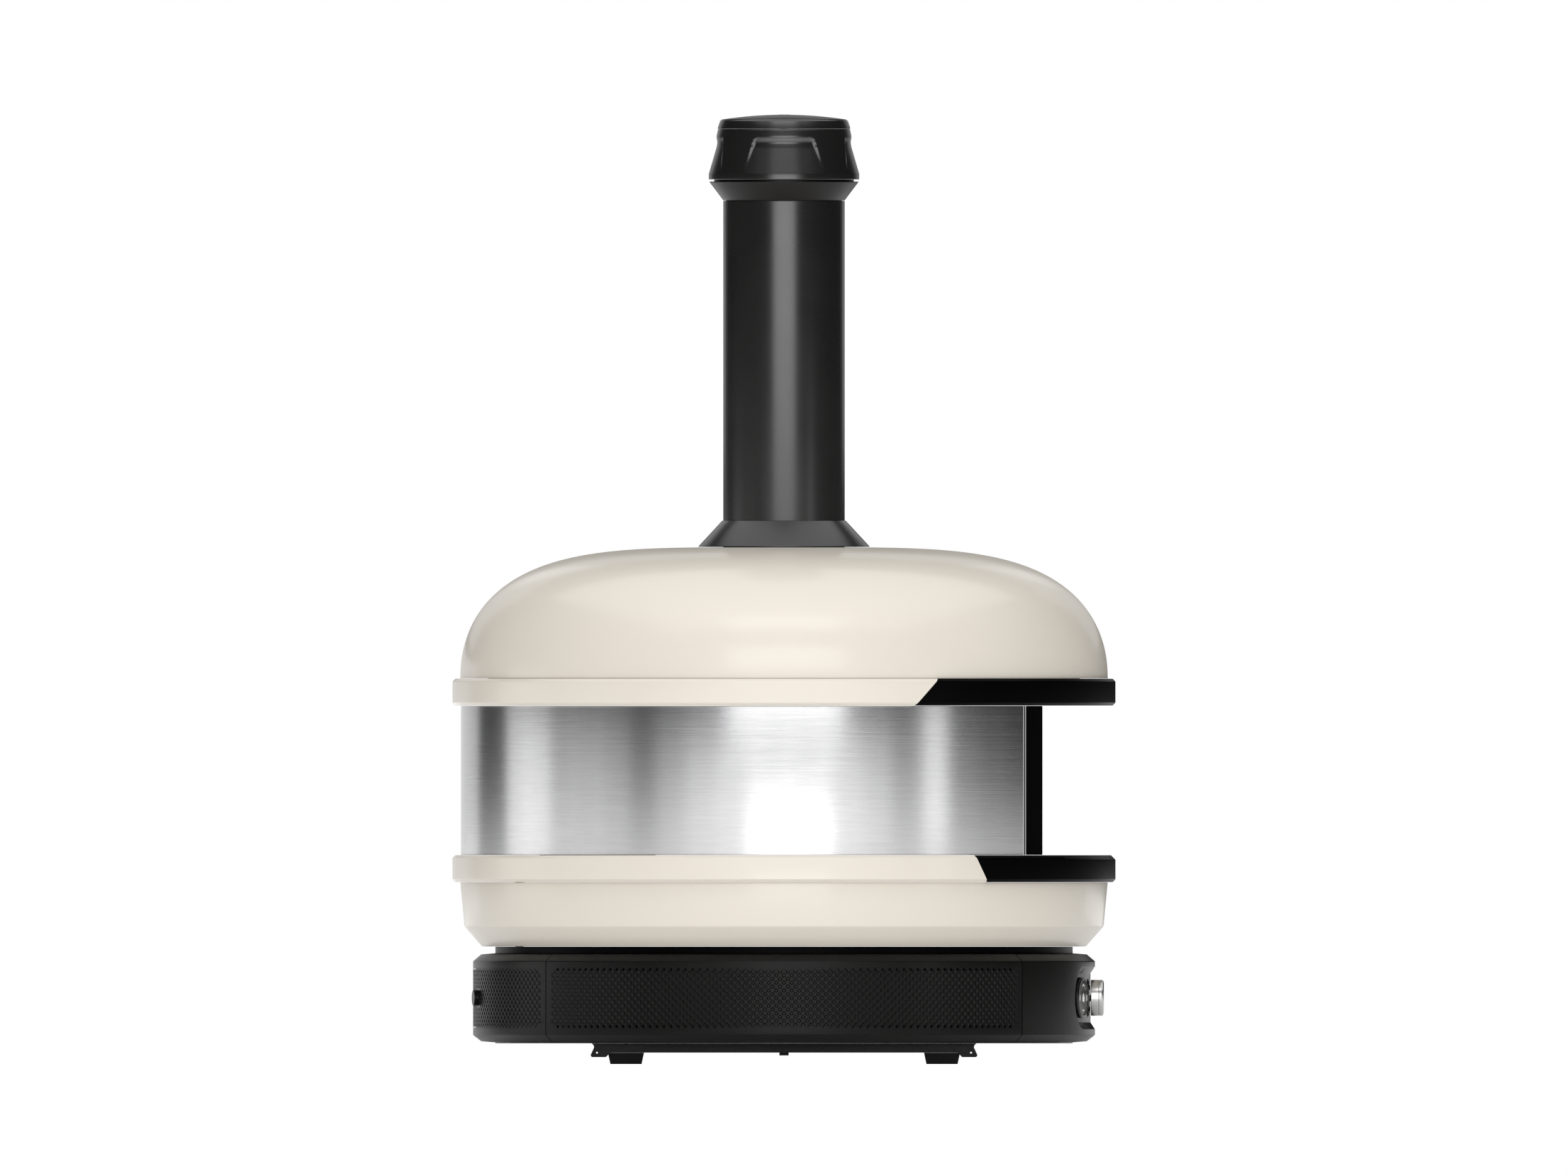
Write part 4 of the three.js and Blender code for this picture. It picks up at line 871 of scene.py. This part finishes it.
# %% [markdown]
# ## Cutting with booleans
# The front face, the mouth's liner and the front panel of the base are round pieces with shapes cut into
# them. Boolean modifiers do that as a mill would: a solid block, minus cutters. The result is applied and
# a narrow bevel breaks its edges.

# %% Cutting and bevelling
def combined(piece, cuts=(), joins=(), keeps=()):
    for operation, tools in (("UNION", joins), ("INTERSECT", keeps), ("DIFFERENCE", cuts)):
        for tool in tools:
            modifier = piece.modifiers.new(operation.lower(), "BOOLEAN")
            modifier.operation = operation
            modifier.object = tool
            modifier.solver = "EXACT"
    return applied(piece, [*cuts, *joins, *keeps])


def applied(piece, tools=()):
    """Replaces a piece's mesh by what its modifiers make of it, and removes the tools."""
    depsgraph = bpy.context.evaluated_depsgraph_get()
    depsgraph.update()
    mesh = bpy.data.meshes.new_from_object(piece.evaluated_get(depsgraph))
    piece.modifiers.clear()
    piece.data = mesh
    for tool in tools:
        bpy.data.objects.remove(tool)
    mesh.shade_smooth()
    mesh.set_sharp_from_angle(angle=SHARP_ANGLE)
    return piece


def eased(piece, width, angle=30):
    """Breaks the piece's sharp edges with a narrow bevel."""
    modifier = piece.modifiers.new("eased_edges", "BEVEL")
    modifier.width = width
    modifier.segments = 2
    modifier.limit_method = "ANGLE"
    modifier.angle_limit = math.radians(angle)
    modifier.harden_normals = False
    return piece


def prism(name, outline, low, high, material, lift=lambda u, v, w: (u, v, w)):
    """A straight solid on a flat outline of (u, v) points, from low to high; lift places its points."""
    total = len(outline)
    points = [lift(u, v, w) for w in (low, high) for u, v in outline]
    faces = [list(range(total)), list(range(total, 2 * total))]
    faces += [(i, (i + 1) % total, total + (i + 1) % total, total + i) for i in range(total)]
    return mesh_object(name, points, faces, material)


def block(name, low, high, material):
    corners = [(low[0], low[1]), (high[0], low[1]), (high[0], high[1]), (low[0], high[1])]
    return prism(name, corners, low[2], high[2], material)


# %% Mouth, front face and liner
MOUTH_WIDTH = 340 * MM
MOUTH_HEIGHT = 120 * MM
MOUTH_SILL = 8 * MM
MOUTH_CORNER = 18 * MM
LINER = 2 * MM
FIT = 0.3 * MM
face_back, face_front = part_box("front_face")[0].x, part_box("front_face")[1].x
liner_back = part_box("mouth_liner")[0].x


def mouth_outline(grow):
    half = MOUTH_WIDTH / 2 + grow
    low = band_low + MOUTH_SILL - grow
    high = low + MOUTH_HEIGHT + 2 * grow
    corner = MOUTH_CORNER + grow
    outline = [(-half, low), (half, low)]
    for side, first in ((half - corner, 0), (corner - half, 90)):
        for step in range(13):
            turn = math.radians(first + 90 * step / 12)
            outline.append((side + corner * math.cos(turn), high - corner + corner * math.sin(turn)))
    return outline


def mouth_tool(grow, first, last):
    return prism("mouth_tool", mouth_outline(grow), first, last, satin_black, lambda u, v, w: (w, u, v))


def body_drum(name, shrink, material):
    outline = [(0, band_low), (BAND - shrink, band_low), (BAND - shrink, band_high), (0, band_high)]
    return turned(name, outline, material, 256)


def slab(first, last):
    return block("slab", (first, -1, 0), (last, 1, 1), satin_black)


face = combined(
    body_drum("face_plate", 0, satin_black),
    keeps=[slab(face_back, face_front)],
    cuts=[mouth_tool(LINER + FIT, 0, 1)],
)
stands_for(eased(face, 0.8 * MM), "satin_black", "front_face")

liner = combined(
    body_drum("liner", BAND_SKIN + FIT, mill_finish),
    keeps=[slab(liner_back, liner_back + LINER)],
    joins=[mouth_tool(LINER, liner_back, face_front - 0.5 * MM)],
)
liner = combined(liner, cuts=[mouth_tool(0, 0, 1)])
stands_for(liner, "dark_steel", "mouth_liner")

# %% [markdown]
# ## The base panels
# Four pressed panels close the drum. Each has a flat ledge, a bevel and an upright wall. The side panels
# and the rear panel are embossed all over with rows of shallow round dimples, each row shifted by half a
# step. Every dimple sits in a diamond-shaped cell whose corners lie half way to its neighbours, so the
# cells tile the wall exactly: rings of points make the dimple, and the cell's edge joins the next cell.

# %% The panel's section
BASE_BEVEL = 8 * MM
BEVEL_LOW = 6.2 * MM
BEVEL_HIGH = 6.8 * MM
SHOULDER_RISE = 1.1 * MM
SHOULDER_WIDTH = 13.5 * MM
PANEL_SKIN = 2.5 * MM
SEAM = 1.1 * MM
panel_low = low_of("base_panel_left")
panel_high = high_of("base_panel_left")
wall_low = panel_low + SHOULDER_RISE + BEVEL_LOW
wall_high = panel_high - SHOULDER_RISE - BEVEL_HIGH
opening = BASE - BASE_BEVEL - SHOULDER_WIDTH
seam_half = SEAM / 2 / BASE


def section_curve(points):
    """The panel's outer line only, from its lower edge to its upper edge."""
    return rounded([(opening, panel_low - MM), *points, (opening, panel_high + MM)])[1:-1]


lower_line = [
    (opening, panel_low),
    (BASE - BASE_BEVEL, panel_low + SHOULDER_RISE, 1.5 * MM),
    (BASE, wall_low, 1.5 * MM),
]
upper_line = [
    (BASE, wall_high, 1.5 * MM),
    (BASE - BASE_BEVEL, panel_high - SHOULDER_RISE, 1.5 * MM),
    (opening, panel_high),
]
outer_line = section_curve(lower_line + upper_line)
print(f"panel section: {len(outer_line)} points")

# %% The dimpled field
PITCH = 7.58 * MM
ROW = 3.76 * MM
TOP_ROW = 91.5 * MM
ROWS = 15
DIMPLE = 2.25 * MM
DIMPLE_DEPTH = 0.95 * MM
CELL_SIDES = 12
# rings of a dimple: radius and depth, from its lip to its floor
DIMPLE_RINGS = [(DIMPLE, 0.0), (0.86 * DIMPLE, 0.28 * DIMPLE_DEPTH), (0.5 * DIMPLE, DIMPLE_DEPTH)]


def on_wall(u, v, depth=0.0):
    """A point from its place along the wall, its height and its depth under the surface."""
    reach = BASE - depth
    return (reach * math.cos(u / BASE), reach * math.sin(u / BASE), v)


def cell_edge(column, row):
    """The 12 points round a diamond cell, given in half pitches and rows, from its right-hand corner."""
    corners = [(column + 1, row), (column, row - 1), (column - 1, row), (column, row + 1)]
    edge = []
    for index, (c, r) in enumerate(corners):
        next_c, next_r = corners[(index + 1) % 4]
        for step in range(3):
            edge.append((c + (next_c - c) * step / 3, r + (next_r - r) * step / 3))
    return edge


class Field:
    """Collects points by place, so that cells that touch share their edges."""

    def __init__(self, middle):
        self.middle = middle
        self.points = []
        self.index = {}
        self.faces = []

    def at(self, column, row, depth=0.0):
        key = (round(column * 30), round(row * 30), round(depth * 1e7))
        if key not in self.index:
            self.index[key] = len(self.points)
            along = self.middle + column * PITCH / 2
            self.points.append(on_wall(along, TOP_ROW - row * ROW, depth))
        return self.index[key]

    def loose(self, along, height, depth):
        self.points.append(on_wall(along, height, depth))
        return len(self.points) - 1

    def dimple(self, column, row):
        edge = cell_edge(column, row)
        loops = [[self.at(c, r) for c, r in edge]]
        for reach, depth in DIMPLE_RINGS:
            loop = []
            for c, r in edge:
                away = Vector(((c - column) * PITCH / 2, (row - r) * ROW)).normalized() * reach
                along = self.middle + column * PITCH / 2 + away.x
                loop.append(self.loose(along, TOP_ROW - row * ROW + away.y, depth))
            loops.append(loop)
        for outer, inner in zip(loops, loops[1:]):
            for i in range(CELL_SIDES):
                ahead = (i + 1) % CELL_SIDES
                self.faces.append((outer[i], outer[ahead], inner[ahead], inner[i]))
        self.faces.append(loops[-1])

    def plain(self, column, row):
        self.faces.append([self.at(c, r) for c, r in cell_edge(column, row)])


# %% A dimpled panel
def fill_edges(field, reach):
    """Closes the zigzag round the cells to a rectangle, with half cells at its sides and corners."""
    last = ROWS
    def line(a, b):
        return [field.at(a[0] + (b[0] - a[0]) * s / 3, a[1] + (b[1] - a[1]) * s / 3) for s in range(3)]
    for side in (-1, last):
        inward = 1 if side < 0 else -1
        for column in range(-reach + 2, reach - 1, 2):
            field.faces.append([
                *line((column, side + inward), (column - 1, side)),
                field.at(column - 1, side),
                *line((column + 1, side), (column, side + inward)),
            ])
    for side in (-reach, reach):
        inward = 1 if side < 0 else -1
        for row in range(1, last - 1, 2):
            field.faces.append([
                *line((side + inward, row + 1), (side, row)),
                field.at(side, row),
                *line((side, row + 2), (side + inward, row + 1)),
            ])
        for row, step in ((-1, 1), (last, -1)):
            corner = [
                *line((side, row + 2 * step), (side + inward, row + step)),
                *line((side + inward, row + step), (side + 2 * inward, row)),
                field.at(side + 2 * inward, row),
                field.at(side, row),
            ]
            field.faces.append(corner)


def dimpled_panel(name, middle_degrees, half_degrees, half_columns, skipped=lambda along, height: False):
    """A panel about an angle, with B rows reaching half_columns pitches each way from its middle."""
    middle = math.radians(middle_degrees) * BASE
    edge = math.radians(half_degrees) * BASE - SEAM / 2
    field = Field(middle)
    widest = 2 * half_columns
    for row in range(ROWS):
        shift = 1 if row % 2 == 0 else 0
        limit = widest - shift
        for column in range(-limit, limit + 1, 2):
            along = middle + column * PITCH / 2
            if skipped(along, TOP_ROW - row * ROW):
                field.plain(column, row)
            else:
                field.dimple(column, row)
    reach = widest + 1
    fill_edges(field, reach)

    columns = [-edge / (PITCH / 2), *range(-reach, reach + 1, 2), edge / (PITCH / 2)]
    rows = list(range(ROWS, -2, -2))
    lower = [(r, z, None) for r, z in outer_line if z <= wall_low + 2 * MM]
    upper = [(r, z, None) for r, z in outer_line if z >= wall_high - 2 * MM]
    levels = lower + [(BASE, TOP_ROW - row * ROW, row) for row in rows] + upper
    grid = []
    inner_grid = []
    for r, z, row in levels:
        line = []
        back = []
        for column in columns:
            along = (middle + column * PITCH / 2) / BASE
            if row is not None and abs(column) <= reach:
                line.append(field.at(column, row) if (abs(column) == reach or row in (-1, ROWS)) else None)
            else:
                field.points.append((r * math.cos(along), r * math.sin(along), z))
                line.append(len(field.points) - 1)
            inside = r - PANEL_SKIN if abs(r - opening) > MM else r
            level = min(max(z, panel_low + PANEL_SKIN), panel_high - PANEL_SKIN)
            field.points.append((inside * math.cos(along), inside * math.sin(along), level))
            back.append(len(field.points) - 1)
        grid.append(line)
        inner_grid.append(back)
    for i in range(len(levels) - 1):
        for j in range(len(columns) - 1):
            inside_field = levels[i][2] is not None and levels[i + 1][2] is not None and 1 <= j < len(columns) - 2
            if not inside_field:
                field.faces.append((grid[i][j], grid[i][j + 1], grid[i + 1][j + 1], grid[i + 1][j]))
            back = inner_grid
            field.faces.append((back[i][j], back[i + 1][j], back[i + 1][j + 1], back[i][j + 1]))
    for j in range(len(columns) - 1):
        for i in (0, len(levels) - 1):
            field.faces.append((grid[i][j], grid[i][j + 1], inner_grid[i][j + 1], inner_grid[i][j]))
    for i in range(len(levels) - 1):
        for j in (0, len(columns) - 1):
            field.faces.append((grid[i][j], grid[i + 1][j], inner_grid[i + 1][j], inner_grid[i][j]))
    return mesh_object(name, field.points, field.faces, powder_black, math.radians(20))


SIDE_HALF = 50
REAR_HALF = 40
left_panel = dimpled_panel("side_panel_left", 90, SIDE_HALF, 34)
stands_for(left_panel, "base_black", "base_panel_left")
right_panel = dimpled_panel("side_panel_right", 270, SIDE_HALF, 34)
stands_for(right_panel, "base_black", "base_panel_right")

# %% [markdown]
# ## The rear panel and the gas inlet
# The rear panel is like the side ones, with a round hole for the gas fitting. The dimples stop short of
# the hole, and a plain cutter opens it.

# %% Rear panel
INLET_HOLE = 7.5 * MM
inlet_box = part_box("gas_inlet")
inlet_middle = (inlet_box[0] + inlet_box[1]) / 2
inlet_angle = math.atan2(inlet_middle.y, inlet_middle.x) % (2 * math.pi)
inlet_height = inlet_middle.z


def near_inlet(along, height):
    return math.hypot(along - inlet_angle * BASE, height - inlet_height) < INLET_HOLE + DIMPLE


def pointing_out(angle, height):
    """A frame whose Z points outwards at an angle round the oven, with the controls' height as its middle."""
    turn = Matrix.Rotation(angle, 4, "Z") @ Matrix.Rotation(math.radians(90), 4, "Y")
    return Matrix.Translation((0, 0, height)) @ turn


def rod_tool(frame_matrix, radius, first, last, top_radius=None):
    outline = [(0, first), (radius, first), (radius if top_radius is None else top_radius, last), (0, last)]
    tool = turned("rod_tool", outline, satin_black, 64)
    tool.data.transform(frame_matrix)
    return tool


rear_panel = dimpled_panel("rear_panel", 180, REAR_HALF, 27, near_inlet)
hole_tool = rod_tool(pointing_out(inlet_angle, inlet_height), INLET_HOLE, BASE - 12 * MM, BASE + 5 * MM)
rear_panel = combined(rear_panel, cuts=[hole_tool])
rear_panel.data.set_sharp_from_angle(angle=math.radians(20))
stands_for(rear_panel, "base_black", "base_panel_rear")

# %% [markdown]
# ## The front panel
# The front panel is smooth. A long recess with round ends and sloping sides is pressed into it for the
# controls. It is cut from the turned panel with two cones and a turned wedge between them.

# %% Front panel
POCKET_DEPTH = 4.4 * MM
POCKET_HALF = 24.2 * MM
POCKET_SLOPE = 6.8 * MM
POCKET_ANGLE = math.radians(15.3)
PAD_ANGLE = -POCKET_ANGLE
pad_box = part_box("ignition_pad")
control_height = (pad_box[0].z + pad_box[1].z) / 2
pocket_floor = BASE - POCKET_DEPTH
OVERCUT = 2 * MM
overcut_half = POCKET_HALF + POCKET_SLOPE * (POCKET_DEPTH + OVERCUT) / POCKET_DEPTH
front_half = math.radians(REAR_HALF) - seam_half


def sector_solid(name, outline, half_angle, material, steps=96):
    return turned(name, outline, material, steps, start=lambda r, z: -half_angle, stop=lambda r, z: half_angle)


inner_line = [(r - PANEL_SKIN, min(max(z, panel_low + PANEL_SKIN), panel_high - PANEL_SKIN)) for r, z in outer_line]
inner_line[0] = (opening, inner_line[0][1])
inner_line[-1] = (opening, inner_line[-1][1])
front = sector_solid("front_panel", outer_line + inner_line[::-1], front_half, powder_black, 120)

BACKING_HALF = POCKET_HALF + POCKET_SLOPE + PANEL_SKIN
backing_outline = [
    (pocket_floor - PANEL_SKIN, control_height - BACKING_HALF),
    (BASE - MM, control_height - BACKING_HALF),
    (BASE - MM, control_height + BACKING_HALF),
    (pocket_floor - PANEL_SKIN, control_height + BACKING_HALF),
]
backing = sector_solid("backing", backing_outline, POCKET_ANGLE + BACKING_HALF / BASE, powder_black)
wedge_outline = [
    (pocket_floor, control_height - POCKET_HALF),
    (BASE + OVERCUT, control_height - overcut_half),
    (BASE + OVERCUT, control_height + overcut_half),
    (pocket_floor, control_height + POCKET_HALF),
]
wedge = sector_solid("wedge", wedge_outline, POCKET_ANGLE, powder_black)
ends = [
    rod_tool(pointing_out(angle, control_height), POCKET_HALF, pocket_floor, BASE + OVERCUT, overcut_half)
    for angle in (POCKET_ANGLE, -POCKET_ANGLE)
]
front = combined(front, joins=[backing], cuts=[wedge, *ends])
print(f"front panel: {len(front.data.polygons)} faces after cutting the recess")

# %% [markdown]
# ## The dial
# The dial's axis runs straight out to the front. Its metal cap has a softly rounded front edge and a
# spun face, and a black skirt with white ticks stands behind it. The dial sits in a round seat in the
# panel, deep enough for it to be pushed in.

# %% Dial
dial_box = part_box("dial_knob")
dial_y = (dial_box[0].y + dial_box[1].y) / 2
dial_radius = (dial_box[1].z - dial_box[0].z) / 2
dial_back, dial_front = dial_box[0].x, dial_box[1].x
skirt_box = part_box("dial_skirt")
skirt_radius = (skirt_box[1].z - skirt_box[0].z) / 2
DIAL_TRAVEL = 3 * MM
along_dial = Matrix.Translation((0, dial_y, control_height)) @ Matrix.Rotation(math.radians(90), 4, "Y")

front = combined(front, cuts=[
    rod_tool(along_dial, skirt_radius + 0.6 * MM, BASE - 35 * MM, BASE + 5 * MM),
    rod_tool(along_dial, dial_radius + 1.2 * MM, dial_back - DIAL_TRAVEL - 0.5 * MM, BASE + 5 * MM),
])
stands_for(front, "base_black", "base_panel_front")


def spun_silver():
    spot = place()
    apart = Wire.node("SeparateXYZ", None, {"Vector": spot}, output="Y")
    upward = Wire.node("SeparateXYZ", None, {"Vector": spot}, output="Z")
    across = apart - dial_y
    rise = upward - control_height
    reach = Wire.maths("SQRT", across * across + rise * rise)
    rings = Wire.node("TexNoise", {"noise_dimensions": "1D"}, {"W": reach * 5200, "Scale": 1.0, "Detail": 2.0})
    haze = grain(spot, 300, 2)
    return {
        "Base Color": blend(rings, colour(0.50, 0.50, 0.49), colour(0.66, 0.66, 0.645)),
        "Metallic": 1.0,
        "Roughness": 0.22 + haze * 0.12,
        "Normal": bump(rings, 0.00004, 0.35),
    }


silver_finish = finish("knob_silver", spun_silver)
stem_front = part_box("dial_stem")[1].x
KNOB_GROOVE = 0.45 * MM
groove_at = dial_front - 5 * MM
knob_outline = rounded([
    (3.3 * MM, dial_back),
    (dial_radius, dial_back, 0.6 * MM),
    (dial_radius, groove_at - KNOB_GROOVE),
    (dial_radius - KNOB_GROOVE, groove_at - 0.1 * MM),
    (dial_radius - KNOB_GROOVE, groove_at + 0.1 * MM),
    (dial_radius, groove_at + KNOB_GROOVE),
    (dial_radius, dial_front, 4.4 * MM),
    (0, dial_front),
    (0, stem_front + FIT),
    (3.3 * MM, stem_front + FIT),
])
knob = turned("knob", knob_outline, silver_finish, 128)
knob.data.transform(along_dial)
stands_for(knob, "knob_silver", "dial_knob", body="dial")

skirt_piece = turned("knob_skirt", rounded([
    (3.3 * MM, skirt_box[0].x),
    (skirt_radius, skirt_box[0].x, 0.4 * MM),
    (skirt_radius, skirt_box[1].x, 0.6 * MM),
    (3.3 * MM, skirt_box[1].x),
]), gloss_black, 96)
skirt_piece.data.transform(along_dial)
stands_for(skirt_piece, "dial_black", "dial_skirt", body="dial")

TICKS = 8
TICK_START = math.radians(250.2)
TICK_SPAN = math.radians(20)
tick_outline = [
    (skirt_radius - 0.5 * MM, skirt_box[1].x - 1.3 * MM),
    (skirt_radius + 0.06 * MM, skirt_box[1].x - 1.3 * MM),
    (skirt_radius + 0.06 * MM, skirt_box[1].x - 0.5 * MM),
    (skirt_radius - 0.5 * MM, skirt_box[1].x - 0.5 * MM),
]
ticks = []
for index in range(TICKS):
    centre = TICK_START + 2 * math.pi * index / TICKS
    tick = turned(
        f"tick_{index}", tick_outline, mark_white, 12,
        start=lambda r, z, at=centre: at - TICK_SPAN / 2, stop=lambda r, z, at=centre: at + TICK_SPAN / 2,
    )
    tick.data.transform(along_dial)
    ticks.append(tick)
stands_for(joined(*ticks), "dial_black", body="dial")

# %% [markdown]
# ## The ignition pad
# A round pad sits in a raised ring at the recess's near end. White marks are printed on it: a flame in
# the middle, a chevron above, a bar at each side and a dash below. They are drawn here as very thin
# raised shapes, as screen-printed ink is.

# %% Pad and ring
ring_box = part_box("pad_bezel")
ring_radius = (ring_box[1].z - ring_box[0].z) / 2
BEZEL_LAND = 3.2 * MM
BEZEL_CHAMFER = 1.4 * MM
BEZEL_HEIGHT = 3.9 * MM
ring_seat = pocket_floor + FIT
ring_face = ring_seat + BEZEL_HEIGHT
pad_face = ring_face - FIT
pad_radius = (pad_box[1].z - pad_box[0].z) / 2
along_pad = pointing_out(PAD_ANGLE, control_height)

bezel = turned("pad_ring", rounded([
    (ring_radius - BEZEL_LAND, ring_seat),
    (ring_radius, ring_seat),
    (ring_radius, ring_face - BEZEL_CHAMFER, 0.8 * MM),
    (ring_radius - BEZEL_CHAMFER, ring_face, 0.8 * MM),
    (ring_radius - BEZEL_LAND, ring_face, 0.3 * MM),
]), gloss_black, 128)
bezel.data.transform(along_pad)
stands_for(bezel, "dial_black", "pad_bezel")

PLUNGER = 5 * MM
plunger_back = pocket_floor - 14 * MM + 2.2 * MM
pad = turned("pad", rounded([
    (0, plunger_back),
    (PLUNGER, plunger_back),
    (PLUNGER, ring_seat + 1.5 * MM),
    (pad_radius, ring_seat + 1.5 * MM),
    (pad_radius, pad_face, 0.5 * MM),
    (0, pad_face),
]), gloss_black, 128)
pad.data.transform(along_pad)
stands_for(pad, "pad_black", "ignition_pad", body="ignition_button")

# %% Printed marks
INK = 0.08 * MM


def mark(name, outline):
    """A printed shape: u runs to the right as the pad is faced, and v runs up."""
    def lift(u, v, w):
        return along_pad @ Vector((-v, u, w))
    made = prism(name, [(u * MM, v * MM) for u, v in outline], pad_face - 0.02 * MM, pad_face + INK, mark_white, lift)
    return made


def flame_outline():
    curve = []
    for step in range(24):
        turn = 2 * math.pi * step / 24
        lean = 0.7 * math.cos(turn) if math.sin(turn) > 0 else 0
        curve.append((3.8 * math.cos(turn) * (1 - 0.55 * max(math.sin(turn), 0)) + 0.3 * lean,
                      (3.4 if math.sin(turn) < 0 else 5.4) * math.sin(turn) - 0.9))
    return curve


marks = [
    mark("mark_flame", flame_outline()),
    mark("mark_chevron", [(-3.4, 10.6), (0, 12.6), (3.4, 10.6), (3.4, 12.0), (0, 14.0), (-3.4, 12.0)]),
    mark("mark_dash", [(-3.0, -13.0), (3.0, -13.0), (3.0, -11.7), (-3.0, -11.7)]),
    mark("mark_left", [(-13.4, -2.9), (-11.6, -2.9), (-11.6, 2.9), (-13.4, 2.9)]),
    mark("mark_right", [(11.6, -2.9), (13.4, -2.9), (13.4, 2.9), (11.6, 2.9)]),
]
stands_for(joined(*marks), "pad_black", body="ignition_button")

# %% [markdown]
# ## The spacer ring
# A plain ring holds the hot pan clear of the base, and shows as a dark line between them.

# %% Spacer ring
spacer_low = low_of("spacer_ring")
spacer_high = high_of("spacer_ring")
spacer_reach = radius_of("spacer_ring")
spacer_bore = spacer_reach - 16 * MM
spacer = turned("spacer", [
    (spacer_bore, spacer_low),
    (spacer_reach, spacer_low),
    (spacer_reach, spacer_high),
    (spacer_bore, spacer_high),
], satin_black)
stands_for(spacer, "satin_black", "spacer_ring")

# %% [markdown]
# ## The cooking chamber
# Through the mouth the chamber's wall and its inner dome show. The wall is turned here, so that no flats
# catch the light inside.

# %% Chamber wall and inner dome
chamber_reach = radius_of("chamber_wall")
chamber_bore = chamber_reach - 1.8 * MM
wall_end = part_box("chamber_wall")[1].x
chamber_outline = [
    (chamber_bore, low_of("chamber_wall")),
    (chamber_reach, low_of("chamber_wall")),
    (chamber_reach, high_of("chamber_wall")),
    (chamber_bore, high_of("chamber_wall")),
]
chamber = turned(
    "chamber", chamber_outline, mill_finish, 160,
    start=lambda r, z: math.acos(wall_end / r), stop=lambda r, z: 2 * math.pi - math.acos(wall_end / r),
)
stands_for(chamber, "dark_steel", "chamber_wall")

# %% [markdown]
# ## Finishes for the pieces that keep their shape
# The rest of the model is already the right shape: feet, rails, pipes, the valve, the stone and its tray.
# Those pieces get a finish, and a narrow bevel where their edges show.

# %% Finish the remaining nodes
FINISH_OF_SLOT = {
    "cream_enamel": cream_enamel,
    "satin_black": satin_black,
    "base_black": powder_black,
    "flue_black": flue_black,
    "brushed_band": steel_finish,
    "dark_steel": mill_finish,
    "knob_silver": silver_finish,
    "dial_black": gloss_black,
    "pad_black": gloss_black,
    "brass": brass_finish,
    "pizza_stone": stone_finish,
    "fibre_blanket": fibre_finish,
    "foot_rubber": rubber_finish,
    "ceramic": ceramic_finish,
    "grey_plastic": grey_finish,
}
slot_of = {part["node"]: part["material_slot"] for part in frame["record"]["subparts"]}
for name, node in nodes.items():
    node.material_slots[0].material = FINISH_OF_SLOT[slot_of[name]]

EASED = {
    "pizza_stone": 2.0 * MM,
    "centre_bolt": 0.4 * MM,
    "valve_body": 1.0 * MM,
    "ignition_module": 1.5 * MM,
}
for side in ("left", "right"):
    EASED[f"foot_rail_{side}"] = 0.5 * MM
    for end in ("front", "rear"):
        EASED[f"foot_{end}_{side}"] = 0.9 * MM
for name, width in EASED.items():
    eased(nodes[name], width)
print(f"finished {len(nodes)} nodes, eased {len(EASED)}")

# %% [markdown]
# ## The floor's finish
# The floor is plain and pale.

# %% Floor finish
floor_mesh.materials.append(finish("pale_floor", fine_grained((0.90, 0.90, 0.90), 0.8, 0.02, 0.00002, 0.01)))
